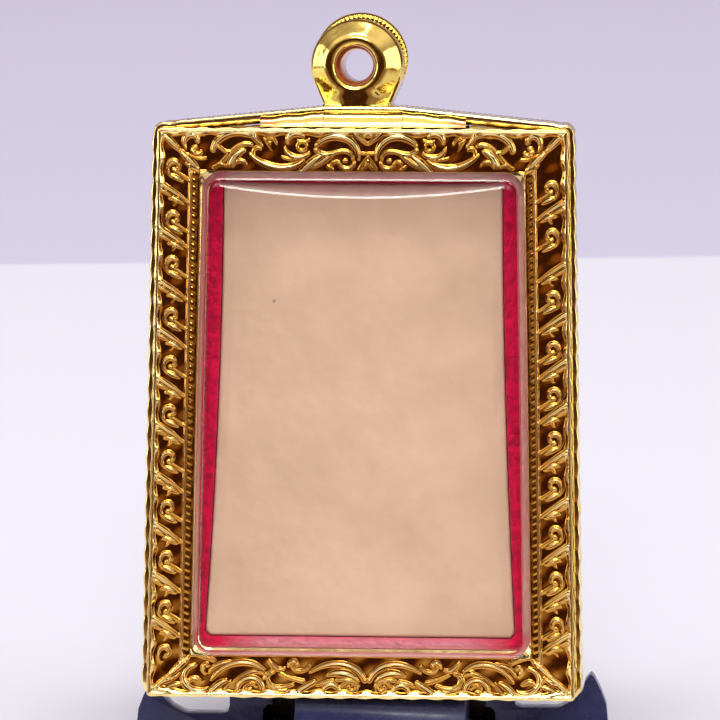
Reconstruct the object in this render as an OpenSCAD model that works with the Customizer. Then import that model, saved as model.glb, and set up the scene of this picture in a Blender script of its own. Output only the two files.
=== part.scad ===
// Amulet tablet in a gold-plated waterproof case, leaning on a small moulded display easel.
// The case is drawn flat, face up: x to the right, y up the face, z towards the viewer,
// with z = 0 on the rims of the front frame. It is then stood up and leaned back.

/* [Case frames] */
// Width of the frame along its top edge
frame_top_w = 32.45; // [31.8:0.05:33]
// Width of the frame along its bottom edge
frame_bottom_w = 34.15; // [33.4:0.05:34.8]
// Height of the frame
frame_h = 45.3; // [44.5:0.1:46]
// Width of the frame's side bars
side_bar_w = 3.45; // [3.4:0.05:3.6]
// Height of the frame's top bar
top_bar_w = 3.4; // [3.3:0.1:3.6]
// Height of the frame's bottom bar
bottom_bar_w = 3.3; // [3.1:0.1:3.5]
// Distance between the rims of the front and back frames
case_d = 8.6; // [8.4:0.1:10]
// Thickness of a frame, rims included
frame_t = 1.5; // [1.3:0.1:1.6]
// Height of the raised ornament over its ground
relief_h = 0.45; // [0.3:0.05:0.5]
// How much wider the left half of the top and bottom ornament is drawn
left_stretch = 1.07; // [1:0.01:1.08]

/* [Side band and bail] */
// How far the band stands out past the frames' sides
band_proud = 0.55; // [0.4:0.05:0.6]
// How far the side band shows below the frames
band_drop = 0.1; // [0.05:0.05:0.3]
// Wall of the side band
band_wall = 1; // [0.8:0.1:1.2]
// Rise of the roof ridge on the band's top edge
roof_rise = 1.3; // [0.8:0.1:1.8]
// Length of the saddle bar under the bail
saddle_w = 16.3; // [13:0.1:20]
// Outer diameter of the bail ring
bail_d = 7.3; // [6.8:0.1:8]
// Diameter of the hole through the bail
bail_bore = 2.5; // [2:0.1:2.8]
// Depth of the bail ring along its hole
bail_depth = 5; // [4.4:0.1:5.4]
// How far the bail sits to the left of the middle
bail_shift = 0.4; // [0:0.1:0.6]

/* [Window] */
// How far the pane stands out past the frame's rims
pane_rise = 1; // [0.6:0.1:1.4]
// Clearance between the frame and the pane's sides
pane_gap = 0.56; // [0.4:0.02:0.7]
// Thickness of the lens flange behind the frame
flange_t = 0.65; // [0.5:0.05:0.7]

/* [Tablet] */
// Width of the tablet at its top
tablet_top_w = 22.1; // [20:0.1:22.4]
// Width of the tablet at its bottom
tablet_bottom_w = 24.7; // [23:0.1:24.8]
// Height of the tablet
tablet_h = 36; // [34:0.1:36.2]

/* [Display stand] */
// How far the case leans back, in degrees
lean = 10; // [6:0.5:12]
// Height of the case's lower front edge over the floor
seat_z = 8; // [7:0.1:10]
// How far the case stands to the left of the stand's middle
case_shift = 0.35; // [0:0.05:0.6]
// Depth of the stand on the floor
stand_d = 32; // [28:0.5:40]
// Width of the stand over its horns
stand_w = 38.6; // [37:0.1:42]
// Thickness of the stand's back plate
plate_t = 2.2; // [1.8:0.1:3]
// Height of the back plate up the case
plate_h = 27; // [20:0.5:30]

/* [Hidden] */

gap = 0.05;
ground = -relief_h;
relief_root = 0.12;
corner_steps = 5;
rim_w = 0.36;
rim_edge = 0.06;
bead_w = 0.2;
divider_w = 0.14;
rope_w = 0.66;
rope_drop = 0.12;
mitre_w = 0.34;
top_axis = 0.45;
bottom_axis = 0.55;

// Heights at which the side leaves leave the rim, from the top down, and of the single curl
// above them.
left_roots = [40.65, 37.08, 32.95, 29.14, 25.25, 21.6, 17.63, 13.58, 9.6, 6.05];
right_roots = [39.4, 34.5, 30.5, 26.85, 23.33, 19.67, 15.85, 12.15, 8.52, 5.1];
left_curl = 44.75;
right_curl = 43.15;

// Rows of ornament strokes. A stroke starts at x, y, sets off at an angle, runs for a length
// and turns by an angle in all. swing bends it into an S: its heading lags behind an even
// turn by up to a quarter of swing. w0, w1 and w2 are its widths at start, middle and end.
// Side unit: x inwards from the rim's outer edge, y up from where the leaf leaves the rim.
//   x,     y,      angle, run,  turn, swing, w0,  w1,   w2
side_rows = [
    [0.04,  0.42,  -32,  2.99, -4,   -2,   0.40, 0.36, 0.12],
    [0.12,  -0.11, -30,  1.27, 3,    0,    0.16, 0.27, 0.12],
    [1.03,  -0.95, 17,   1.25, -38,  95,   0.12, 0.32, 0.10],
    [1.59,  -1.12, -124, 0.43, 0,    0,    0.16, 0.14, 0.08],
    [0.05,  -0.88, -52,  1.33, -91,  -42,  0.12, 0.32, 0.12],
    [1.08,  -3.31, 132,  2.71, -320, -209, 0.12, 0.30, 0.16],
    [1.31,  -2.81, -36,  1.45, 9,    7,    0.19, 0.17, 0.12],
    [1.14,  -3.27, -19,  0.96, -10,  0,    0.16, 0.32, 0.12]];

// The rows of the side unit that make its curl.
curl_rows = [5, 6, 7];

// Half of the top bar: x outwards from the middle, y up from the bar's outer edge.
//   x,     y,      angle, run,  turn, swing, w0,  w1,   w2
top_rows = [
    [1.30,  -0.14, -138, 1.63, -1,   0,    0.36, 0.28, 0.16],
    [-0.41, 0.06,  -45,  0.96, 0,    0,    0.32, 0.28, 0.16],
    [0.00,  -2.21, -53,  1.24, -6,   0,    0.12, 0.14, 0.12],
    [0.05,  -2.52, -86,  0.79, 48,   0,    0.10, 0.14, 0.10],
    [0.52,  -1.97, -174, 0.96, -11,  0,    0.08, 0.11, 0.08],
    [0.67,  -2.44, 95,   4.46, -148, 10,   0.12, 0.56, 0.24],
    [1.10,  -2.48, 104,  3.33, -37,  407,  0.16, 0.24, 0.32],
    [2.62,  -2.08, -35,  1.98, 9,    20,   0.24, 0.36, 0.12],
    [3.48,  -2.18, -32,  1.88, -11,  22,   0.32, 0.56, 0.40],
    [2.24,  -2.60, 1,    0.73, -72,  -2,   0.08, 0.17, 0.08],
    [2.60,  -3.23, 31,   0.46, 0,    0,    0.12, 0.17, 0.08],
    [0.99,  -2.68, -85,  1.68, 168,  -5,   0.16, 0.25, 0.16],
    [1.60,  -2.56, 0,    0.16, 0,    0,    0.16, 0.24, 0.16],
    [4.81,  -0.63, 50,   1.70, -150, -3,   0.24, 0.48, 0.16],
    [4.34,  -0.92, -41,  0.93, 69,   -7,   0.08, 0.12, 0.08],
    [4.52,  -1.37, 79,   2.00, -331, -8,   0.16, 0.17, 0.16],
    [6.12,  -1.55, -98,  2.26, -124, 43,   0.12, 0.33, 0.12],
    [4.83,  -2.43, -11,  1.54, 31,   0,    0.08, 0.14, 0.10],
    [4.74,  -2.52, -42,  4.36, 86,   -29,  0.16, 0.48, 0.16],
    [7.98,  -1.59, 34,   1.25, -153, 133,  0.24, 0.20, 0.08],
    [6.76,  -1.22, 70,   1.38, -274, -239, 0.14, 0.16, 0.14],
    [7.14,  -1.70, 58,   1.04, 0,    0,    0.08, 0.11, 0.08],
    [8.24,  -0.12, -32,  1.50, -90,  174,  0.40, 0.36, 0.16],
    [8.49,  -0.71, 27,   3.70, -110, -48,  0.16, 0.48, 0.36],
    [8.62,  -1.33, 22,   3.55, -42,  198,  0.20, 0.24, 0.14],
    [9.13,  -1.77, -13,  1.70, -54,  40,   0.20, 0.56, 0.28],
    [8.98,  -2.85, 59,   1.31, -135, 14,   0.14, 0.24, 0.12],
    [10.25, -1.85, -35,  1.05, 47,   -210, 0.16, 0.20, 0.16],
    [10.50, -3.04, 44,   0.69, -68,  -1,   0.12, 0.24, 0.12],
    [12.62, -1.04, 105,  2.24, -224, 127,  0.32, 0.44, 0.12],
    [12.69, -1.51, -8,   1.29, -242, 22,   0.16, 0.32, 0.16],
    [13.69, -1.84, -107, 2.06, -95,  -8,   0.16, 0.36, 0.24],
    [12.01, -2.40, -13,  1.37, 55,   3,    0.10, 0.12, 0.08],
    [12.02, -3.52, 12,   1.60, 27,   -3,   0.20, 0.28, 0.16]];

// Half of the bottom bar: x outwards from the middle, y up from the bar's outer edge.
//   x,     y,      angle, run,  turn, swing, w0,  w1,   w2
bottom_rows = [
    [0.17,  1.44,  71,   4.71, -103, 58,   0.32, 0.40, 0.16],
    [0.68,  1.39,  51,   2.48, -73,  18,   0.12, 0.52, 0.12],
    [0.64,  1.03,  47,   1.77, -65,  6,    0.12, 0.24, 0.17],
    [2.55,  1.35,  -10,  1.17, -11,  0,    0.20, 0.25, 0.16],
    [3.95,  1.28,  -29,  2.02, -9,   6,    0.28, 0.38, 0.32],
    [1.97,  0.92,  126,  2.64, 349,  270,  0.12, 0.19, 0.16],
    [2.05,  0.55,  76,   1.81, -165, -15,  0.20, 0.36, 0.16],
    [4.31,  2.59,  -66,  1.66, 135,  16,   0.16, 0.22, 0.16],
    [5.21,  2.63,  92,   1.02, -177, 71,   0.24, 0.33, 0.12],
    [6.17,  2.36,  -54,  1.54, 88,   -213, 0.12, 0.32, 0.12],
    [4.75,  1.31,  11,   1.87, 19,   4,    0.24, 0.19, 0.12],
    [6.97,  2.01,  -7,   2.98, -194, 201,  0.14, 0.25, 0.16],
    [5.99,  0.60,  -15,  1.46, 67,   9,    0.17, 0.22, 0.12],
    [7.17,  2.11,  -41,  0.80, -16,  0,    0.16, 0.22, 0.16],
    [7.74,  2.03,  -121, 0.80, -3,   0,    0.16, 0.20, 0.16],
    [7.72,  2.25,  38,   4.47, -99,  4,    0.20, 0.44, 0.16],
    [10.24, 2.84,  -15,  1.84, -55,  -72,  0.12, 0.32, 0.12],
    [7.74,  1.99,  41,   0.87, -41,  0,    0.16, 0.17, 0.08],
    [7.84,  1.95,  27,   2.43, -59,  96,   0.12, 0.22, 0.10],
    [7.76,  0.63,  90,   3.01, -178, 19,   0.28, 0.40, 0.24],
    [8.25,  0.84,  61,   1.52, -184, -12,  0.10, 0.17, 0.08],
    [8.70,  0.60,  -16,  0.29, 0,    0,    0.20, 0.29, 0.20],
    [10.58, 1.28,  -17,  1.81, -24,  63,   0.28, 0.48, 0.40],
    [10.21, 1.27,  -69,  1.35, 23,   -33,  0.12, 0.25, 0.10],
    [11.86, 2.46,  73,   1.16, -201, 218,  0.17, 0.29, 0.10],
    [12.88, 2.50,  -5,   3.80, -205, 44,   0.25, 0.48, 0.16],
    [13.28, 1.13,  81,   1.24, 122,  -188, 0.16, 0.32, 0.12],
    [11.40, 2.91,  30,   1.23, -22,  0,    0.20, 0.25, 0.16],
    [14.09, 1.75,  -36,  1.33, 15,   0,    0.12, 0.33, 0.12],
    [13.89, 1.01,  -5,   1.14, -25,  0,    0.14, 0.33, 0.16],
    [12.82, 0.12,  6,    3.42, 11,   7,    0.20, 0.52, 0.32]];

// Small teeth on the inner side of a rim: distance from the middle of its ornament, depth.
//   x,     depth
top_teeth = [
    [4.25,  0.55],
    [6.40,  0.52],
    [8.35,  0.62],
    [12.10, 0.76],
    [14.40, 0.52]];
bottom_teeth = [
    [1.95,  0.50],
    [3.45,  0.50],
    [5.70,  0.50],
    [7.75,  0.52],
    [9.90,  0.56]];
tooth_w = 0.5;

// Depths of the layers, down from the front rims.
frame_back = -frame_t;
band_front = frame_back - 0.03;
flange_front = frame_back - gap;
flange_back = flange_front - flange_t;
shelf_front = flange_back - gap;
shelf_t = 0.8;
tablet_front = flange_back - 0.1;
middle = -case_d / 2;

flange_in = side_bar_w - 1;
pane_side = side_bar_w + pane_gap;
pane_top = top_bar_w + pane_gap;
pane_bottom = bottom_bar_w + pane_gap - 0.1;
pane_r = 1.1;
pane_shoulder = 1.5;
pane_shoulder_drop = 0.4;
liner_side = pane_side + 0.06;
liner_top = pane_top + 0.1;
liner_bottom = pane_bottom + 0.1;
tablet_y = frame_h - liner_top - 0.45 - tablet_h;
tablet_steps = 9;
tablet_flare = 1.8;
tablet_shift = 0.12;
tablet_corner = 0.35;

band_r = 1;
band_over = 0.45;
roof_half = 2.9;
saddle_end_h = 0.55;
saddle_mid_h = 1;
saddle_front = -0.9;
block_w = 6.3;
block_front = -0.6;
neck_w = 5.3;
neck_foot_w = 6.3;
neck_steps = 5;
bail_y = frame_h + 4.95;
bail_thick = (bail_d - bail_bore) / 2;
bail_round = bail_thick / 2;
bail_steps = 6;
crown_lift = 0.32;
crown_grow = 0.08;
crown_t = 1.5;
crown_round = 0.4;

ledge_half = 6.8;
ledge_shift = 1.2;
ledge_front = -0.6;
seat_in = 0.3;
ledge_t = 2.6;
ledge_top = -band_drop - gap;
plate_front = -case_d - pane_rise - 0.15;
plate_back = plate_front - plate_t;
foot_back = -1.9;
plate_shift = 0.05;
left_drop = 0.8;
dip_half = 11.6;
pocket_half = 9.45;
pocket_shift = 0.65;
pocket_top = 1.95;
pocket_step = -1.95;
pocket_in = 0.8;
pocket_floor = -3.85;
pocket_d = 3;
heel_wall = 1.2;

// Outline of a horn of the back plate and the dip beside it: distance in from the stand's
// side, height over the case's foot on the right.
horn_rows = [
    [0,    -4.6],
    [0.08, -3],
    [0.22, -1.62],
    [0.63, -0.54],
    [1.1,  0.41],
    [1.3,  0.72],
    [1.45, 0.8],
    [1.6,  0.7],
    [1.93, 0.27],
    [2.15, -0.54],
    [2.95, -1.35],
    [3.43, -1.62],
    [3.85, -1.84],
    [4.2,  -1.95]];

base_t = 2;
base_w = 18;
web_t = 3;
web_y = 20;
tongue_half = 8;
tongue_r = 3;
deep = 14;
big = 200;
seat_y = -stand_d / 2 + ledge_t * sin(lean) + seat_in * cos(lean);

function half_w(y) = (frame_bottom_w + (frame_top_w - frame_bottom_w) * y / frame_h) / 2;

function arc(x, y, r, from) =
    [for (i = [0:corner_steps]) let (a = from + 90 * i / corner_steps) [x + r * cos(a), y + r * sin(a)]];

// The frame's outline moved inwards by side, top and bottom, with rounded corners.
// Points in roof are added along its top edge, from right to left.
function outline(side, top, bottom, r, roof = []) =
    let (low = bottom, high = frame_h - top, wl = half_w(low) - side, wh = half_w(high) - side)
    concat(arc(wl - r, low + r, r, -90), arc(wh - r, high - r, r, 0), roof,
           arc(r - wh, high - r, r, 90), arc(r - wl, low + r, r, 180));

function stroke_heading(row, f) = row[2] + row[4] * f + row[5] * (f * f - f);

// Width along a stroke: the parabola through its three widths.
function stroke_width(row, f) =
    row[6] * (1 - f) * (1 - 2 * f) + 4 * row[7] * f * (1 - f) + row[8] * f * (2 * f - 1);

function stroke_line(row, n) =
    [for (i = 0, p = [row[0], row[1]]; i <= n;
          p = p + row[3] / n * [cos(stroke_heading(row, (i + 0.5) / n)),
                                sin(stroke_heading(row, (i + 0.5) / n))],
          i = i + 1) p];

function stroke_outline(row) =
    let (n = max(3, ceil(max(abs(row[4]), abs(row[5])) / 30)), line = stroke_line(row, n),
         side = function (s) [for (i = [0:n])
             let (a = stroke_heading(row, i / n), w = stroke_width(row, i / n) / 2)
             line[i] + s * w * [-sin(a), cos(a)]],
         left = side(1), right = side(-1))
    concat(left, [for (i = [n:-1:0]) right[i]]);

// Half width of the tablet at a height, flaring towards its foot.
function tablet_half(y) =
    (tablet_top_w + (tablet_bottom_w - tablet_top_w) * pow((tablet_h - y) / tablet_h, tablet_flare)) / 2;

// How far the tablet's middle lies to the left at a height, growing towards its foot.
function tablet_off(y) = tablet_shift * pow(max(0, min(1, (tablet_h - y) / tablet_h)), tablet_flare);

// The tablet's outline grown by a clearance, with cut corners.
function tablet_outline(grow) =
    let (c = tablet_corner,
         ys = [for (i = [0:tablet_steps]) c + (tablet_h - 2 * c) * i / tablet_steps],
         half = concat([[tablet_half(0) - c + grow, -grow]],
                       [for (y = ys) [tablet_half(y) + grow, y]],
                       [[tablet_half(tablet_h) - c + grow, tablet_h + grow]]))
    concat([for (p = half) [p[0] - tablet_off(p[1]), p[1]]],
           [for (i = [len(half) - 1:-1:0]) [-half[i][0] - tablet_off(half[i][1]), half[i][1]]]);

module slab(z0, z1) {
    translate([0, 0, z0]) linear_extrude(z1 - z0) children();
}

// Leans a flat drawing back over its seat, in the middle of the stand.
module leaned() {
    translate([0, seat_y, seat_z]) rotate([90 - lean, 0, 0]) children();
}

// The same for what belongs to the case, which stands a little off the middle.
module on_seat() {
    translate([-case_shift, 0, 0]) leaned() children();
}

module to_back() {
    translate([0, 0, -case_d]) mirror([0, 0, 1]) children();
}

module both_sides() {
    children();
    mirror([1, 0, 0]) children();
}

module ring_2d(outer, inner) {
    difference() {
        polygon(outer);
        polygon(inner);
    }
}

module inset_ring(from, width, r) {
    ring_2d(outline(from[0], from[1], from[2], r),
            outline(from[0] + width, from[1] + width, from[2] + width, max(r - width, 0.05)));
}

module window_2d() {
    polygon(outline(side_bar_w, top_bar_w, bottom_bar_w, 0.7));
}

// A line between two heights along one side bar, a distance in from the frame's edge.
module side_line(inset, width, low, high) {
    polygon([[half_w(low) - inset, low], [half_w(high) - inset, high],
             [half_w(high) - inset - width, high], [half_w(low) - inset - width, low]]);
}

module strokes(rows) {
    for (row = rows) polygon(stroke_outline(row));
}

// The ornament of the left side bar, cut off at the mitres.
module side_strokes(roots, curl) {
    reach = side_bar_w + 0.1;
    intersection() {
        polygon([[-half_w(0), 0], [reach - half_w(0), bottom_bar_w + 0.1],
                 [reach - half_w(frame_h), frame_h - top_bar_w - 0.1], [-half_w(frame_h), frame_h]]);
        union() {
            for (y = roots) translate([-half_w(y), y]) strokes(side_rows);
            translate([-half_w(curl), curl]) strokes([for (i = curl_rows) side_rows[i]]);
        }
    }
}

// Draws something and its wider mirror image on the left.
module both_halves() {
    children();
    scale([-left_stretch, 1, 1]) children();
}

module mitres() {
    corner_in = 0.3;
    for (end = [[0, bottom_bar_w], [frame_h, frame_h - top_bar_w]]) {
        from = [half_w(end[0]) - corner_in, end[0] + (end[0] == 0 ? corner_in : -corner_in)];
        to = [half_w(end[1]) - side_bar_w + 0.15, end[1] + (end[0] == 0 ? -0.15 : 0.15)];
        a = atan2(to[1] - from[1], to[0] - from[0]);
        both_sides() polygon(stroke_outline([from[0], from[1], a, norm(to - from), 0, 0,
                                             mitre_w * 0.6, mitre_w * 1.5, mitre_w * 0.6]));
    }
}

// Teeth that point up from a rim at y = 0.
module teeth(rows) {
    for (t = rows) polygon([[t[0] - tooth_w / 2, 0.2], [t[0] + tooth_w / 2, 0.2], [t[0], t[1]]]);
}

// Everything that stands up from the ground of a frame, drawn flat and joined.
module ornament_2d() {
    divider_in = side_bar_w - rope_w - divider_w;
    offset(delta = 0) intersection() {
        ring_2d(outline(rim_edge, rim_edge, rim_edge, 0.3),
                outline(side_bar_w - rim_edge, top_bar_w - rim_edge, bottom_bar_w - rim_edge, 0.7));
        union() {
            inset_ring([rim_edge, rim_edge, rim_edge], rim_w, 0.3);
            inset_ring([side_bar_w - bead_w - rim_edge, top_bar_w - bead_w - rim_edge,
                        bottom_bar_w - bead_w - rim_edge], bead_w, 0.9);
            both_sides()
                side_line(divider_in, divider_w, bottom_bar_w - 0.7, frame_h - top_bar_w + 0.7);
            mitres();
            translate([top_axis, frame_h]) both_halves() {
                strokes(top_rows);
                mirror([0, 1, 0]) teeth(top_teeth);
            }
            translate([bottom_axis, 0]) both_halves() {
                strokes(bottom_rows);
                teeth(bottom_teeth);
            }
            side_strokes(left_roots, left_curl);
            mirror([1, 0, 0]) side_strokes(right_roots, right_curl);
        }
    }
}

// A mitred frame with cast scrollwork, a rope border along its sides and an open window.
module bezel() {
    slab(frame_back, ground) difference() {
        polygon(outline(0, 0, 0, 0.35));
        window_2d();
    }
    slab(ground - relief_root, ground + relief_h - rope_drop) both_sides()
        side_line(side_bar_w - rope_w + 0.02, rope_w - bead_w - rim_edge - 0.04,
                  bottom_bar_w + 0.2, frame_h - top_bar_w - 0.2);
    slab(ground - relief_root, 0) ornament_2d();
}

module front_bezel() {
    color("goldenrod") on_seat() bezel();
}

module rear_bezel() {
    color("goldenrod") on_seat() to_back() bezel();
}

// The band round the case: an outer wall with a roof ridge, and two inner shelves that hold
// the lens flanges.
module side_band() {
    top = frame_h + band_over;
    roof = [[roof_half, top + roof_rise], [-roof_half, top + roof_rise]];
    slab(-case_d - band_front, band_front)
        ring_2d(outline(-band_proud, -band_over, -band_drop, band_r, roof),
                outline(band_wall - band_proud, band_wall - band_over, band_wall - band_drop, 0.5));
    for (z = [shelf_front, -case_d - shelf_front + shelf_t])
        slab(z - shelf_t, z)
            ring_2d(outline(0.2, 0.2, 0.2, 0.6),
                    outline(liner_side - gap, liner_top - gap, liner_bottom - gap, 0.8));
}

// A bar soldered on the roof of the band, higher in its middle, with a block under the neck.
module saddle() {
    low = frame_h + 0.2;
    end_y = frame_h + band_over + saddle_end_h;
    mid_y = frame_h + band_over + saddle_mid_h;
    slab(-case_d - saddle_front, saddle_front)
        polygon([[saddle_w / 2, low], [saddle_w / 2, end_y], [block_w / 2, mid_y],
                 [-block_w / 2, mid_y], [-saddle_w / 2, end_y], [-saddle_w / 2, low]]);
    slab(-case_d - block_front, block_front)
        translate([-block_w / 2, low]) square([block_w, mid_y - low - 0.2]);
}

// Waisted neck between the saddle and the ring.
module neck() {
    foot_y = frame_h + band_over + saddle_mid_h - 0.3;
    rise = 1.3;
    waist = (neck_foot_w - neck_w) / 2;
    flank = [for (i = [0:neck_steps]) let (a = 90 * i / neck_steps)
        [neck_foot_w / 2 - waist * sin(a), foot_y + rise * (1 - cos(a))]];
    right = concat(flank, [[neck_w / 2, foot_y + rise + 1]]);
    points = concat(right, [for (i = [len(right) - 1:-1:0]) [-right[i][0], right[i][1]]]);
    translate([-bail_shift, 0, 0]) slab(middle - bail_depth / 2 + 0.25, middle + bail_depth / 2 - 0.25)
        polygon(points);
}

// Fat ring with a straight bore and rounded lips, and a slightly larger crown on its back half.
module bail_ring() {
    flat = bail_depth / 2 - bail_round;
    lip = [for (i = [0:2 * bail_steps]) let (a = 180 * i / (2 * bail_steps))
        [bail_bore / 2 + bail_round + bail_round * cos(a), flat + bail_round * sin(a)]];
    profile = concat(lip, [for (i = [len(lip) - 1:-1:0]) [lip[i][0], -lip[i][1]]]);
    crown_r = bail_d / 2 + crown_grow;
    rotate_extrude($fn = 96) polygon(profile);
    translate([0, crown_lift, -crown_t - 0.2]) rotate_extrude($fn = 96)
        polygon([[bail_bore / 2 + crown_lift + 0.4, 0], [crown_r - crown_round, 0],
                 [crown_r, crown_round], [crown_r, crown_t - crown_round],
                 [crown_r - crown_round, crown_t], [bail_bore / 2 + crown_lift + 0.4, crown_t]]);
}

module band_and_bail() {
    color("gold") on_seat() {
        difference() {
            union() {
                side_band();
                saddle();
                neck();
            }
            translate([-bail_shift, bail_y, middle])
                cylinder(d = bail_bore + bail_thick, h = bail_depth + 2, center = true, $fn = 96);
        }
        translate([-bail_shift, bail_y, middle]) bail_ring();
    }
}

// Side view of a pane, with its front shoulders rounded towards the top and bottom edges.
module pane_profile(low, high) {
    polygon([[low, flange_front], [low, pane_rise - pane_shoulder_drop],
             [low + pane_shoulder / 2, pane_rise - pane_shoulder_drop / 3],
             [low + pane_shoulder, pane_rise], [high - pane_shoulder, pane_rise],
             [high - pane_shoulder / 2, pane_rise - pane_shoulder_drop / 3],
             [high, pane_rise - pane_shoulder_drop], [high, flange_front]]);
}

// Clear acrylic shell half: a flange behind the frame and a raised pane through its window.
module lens() {
    slab(flange_back, flange_front)
        polygon(outline(flange_in, top_bar_w - 1, bottom_bar_w - 1, 0.6));
    intersection() {
        slab(flange_back + 0.1, pane_rise + 1) polygon(outline(pane_side, pane_top, pane_bottom, pane_r));
        rotate([90, 0, 90]) linear_extrude(frame_bottom_w, center = true)
            translate([0, -0.2]) pane_profile(pane_bottom - 0.01, frame_h - pane_top + 0.01);
    }
}

module front_lens() {
    color("lavender", 0.4) on_seat() lens();
}

module rear_lens() {
    color("lavender", 0.4) on_seat() to_back() lens();
}

module tablet() {
    color("burlywood") on_seat() translate([0, tablet_y, 0])
        slab(-case_d - tablet_front, tablet_front) polygon(tablet_outline(0));
}

// Felt strip packed between the tablet and the case, wider beside the tablet's narrow top.
module red_liner() {
    color("crimson") on_seat() slab(-case_d - tablet_front + gap, tablet_front - gap) difference() {
        polygon(outline(liner_side, liner_top, liner_bottom, 0.8));
        translate([0, tablet_y]) polygon(tablet_outline(gap));
    }
}

// Half the outline of the stand's back plate, from its foot up to the middle of its top: a
// horn, a dip beside it, both set lower by a drop, and a tongue that runs up behind the case.
function plate_half(drop) =
    let (side = stand_w / 2, floor_y = horn_rows[len(horn_rows) - 1][1] - drop)
    concat([[side, -deep]], [for (row = horn_rows) [side - row[0], row[1] - drop]],
           [[dip_half + 0.6, floor_y], [dip_half + 0.15, floor_y + 0.2],
            [dip_half, floor_y + 0.65], [dip_half, 2], [tongue_half, 9]],
           arc(tongue_half - tongue_r, plate_h - tongue_r, tongue_r, 0));

// The back plate's outline, lower on the left.
module plate_2d() {
    left = plate_half(left_drop);
    translate([plate_shift, 0])
        polygon(concat(plate_half(0),
                       [for (i = [len(left) - 1:-1:0]) [-left[i][0], left[i][1]]]));
}

// Outline of the pocket round the ledge, narrower in its upper part.
module pocket_2d() {
    half = [[pocket_half, pocket_floor], [pocket_half, pocket_step - 0.4],
            [pocket_half - 0.4, pocket_step], [pocket_half - pocket_in, pocket_step],
            [pocket_half - pocket_in, pocket_top]];
    polygon(concat(half, [for (i = [len(half) - 1:-1:0]) [-half[i][0], half[i][1]]]));
}

// Side view of the ledge and the foot under it, in the leaned frame: depth, height.
module ledge_2d() {
    polygon([[ledge_front - 1.4, ledge_top], [ledge_front - 0.8, ledge_top - 0.2],
             [ledge_front - 0.35, ledge_top - 0.65], [ledge_front - 0.1, ledge_top - 1.2],
             [ledge_front, -ledge_t], [foot_back, -deep],
             [plate_front - 0.5, -deep], [plate_front - 0.5, ledge_top]]);
}

module display_stand() {
    heel_half = pocket_half + heel_wall;
    color("midnightblue") intersection() {
        union() {
            leaned() {
                difference() {
                    union() {
                        slab(plate_back, plate_front) plate_2d();
                        slab(plate_back - pocket_d - heel_wall, plate_back + 0.1)
                            translate([pocket_shift - heel_half, -deep])
                                square([2 * heel_half, deep + pocket_top + heel_wall]);
                    }
                    slab(plate_back - pocket_d, plate_front + 1)
                        translate([pocket_shift, 0]) pocket_2d();
                }
                translate([ledge_shift, 0, 0]) rotate([0, -90, 0])
                    linear_extrude(2 * ledge_half, center = true) ledge_2d();
            }
            base_plate();
            web();
        }
        translate([-big / 2, -big / 2, 0]) cube(big);
    }
}

module base_plate() {
    front = seat_y - plate_front * cos(lean) - 1;
    translate([-base_w / 2, front, 0]) cube([base_w, stand_d / 2 - front, base_t]);
}

// Upright web that braces the back plate from behind.
module web() {
    back_y = seat_y + web_y * sin(lean) - (plate_back + 0.3) * cos(lean);
    back_z = seat_z + web_y * cos(lean) + (plate_back + 0.3) * sin(lean);
    foot_y = seat_y - (plate_back + 0.3) * cos(lean) - seat_z * sin(lean);
    rotate([90, 0, 90]) linear_extrude(web_t, center = true)
        polygon([[foot_y, base_t / 2], [stand_d / 2 - 2, base_t / 2], [stand_d / 2 - 2, base_t + 1],
                 [back_y + 0.6, back_z], [back_y, back_z]]);
}

front_bezel();
rear_bezel();
band_and_bail();
front_lens();
rear_lens();
tablet();
red_liner();
display_stand();
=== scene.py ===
"""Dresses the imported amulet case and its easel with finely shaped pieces, finishes and a studio.

Shapes are worked out flat, in millimetres on the case's face: x to the right, y up the face,
z towards the viewer, with z = 0 on the rims of the front frame. stand_up() then leans them back
over the easel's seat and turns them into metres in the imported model's frame.
"""

import logging
import math
from abc import ABC, abstractmethod
from dataclasses import dataclass
from enum import Enum
from typing import Union

import bmesh
import bpy
import numpy as np
from mathutils import Matrix, Vector


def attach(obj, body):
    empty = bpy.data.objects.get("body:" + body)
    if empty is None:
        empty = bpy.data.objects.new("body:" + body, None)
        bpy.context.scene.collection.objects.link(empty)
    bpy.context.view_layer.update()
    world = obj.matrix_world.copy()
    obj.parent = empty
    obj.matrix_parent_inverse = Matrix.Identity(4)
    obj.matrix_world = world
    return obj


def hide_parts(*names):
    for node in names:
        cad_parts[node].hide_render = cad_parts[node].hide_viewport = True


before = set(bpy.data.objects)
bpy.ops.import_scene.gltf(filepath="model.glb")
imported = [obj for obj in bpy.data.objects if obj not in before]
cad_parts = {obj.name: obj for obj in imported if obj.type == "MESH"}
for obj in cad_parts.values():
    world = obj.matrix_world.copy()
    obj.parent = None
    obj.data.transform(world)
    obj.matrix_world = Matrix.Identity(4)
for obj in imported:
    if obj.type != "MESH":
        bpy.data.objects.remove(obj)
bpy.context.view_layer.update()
LOG = logging.getLogger("amulet_case")

Array = np.ndarray
Node = bpy.types.Node
Tree = bpy.types.NodeTree
Socket = bpy.types.NodeSocket
Material = bpy.types.Material
Item = bpy.types.Object
Color = tuple[float, float, float]
Stops = tuple[tuple[float, Color], ...]
Feed = Union[Socket, float, Color]
Surface = tuple[Array, Array, list[list[int]]]

# How far the case leans back, and where the middle of its front frame's foot stands.
LEAN = math.radians(10)
SEAT = (-0.35, -15.25307, 8.0)
MILLIMETRE = 0.001


def stand_up(points: Array) -> Array:
    """Leans points of the face back over the seat.

    Args:
        points: rows of x, y, z on the face, in millimetres.

    Returns:
        Rows of x, y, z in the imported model's frame, in metres.
    """
    turn = math.pi / 2 - LEAN
    x, y, z = points.T
    return MILLIMETRE * np.stack([
        SEAT[0] + x,
        SEAT[1] + y * math.cos(turn) - z * math.sin(turn),
        SEAT[2] + y * math.sin(turn) + z * math.cos(turn)], axis=1)


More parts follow.
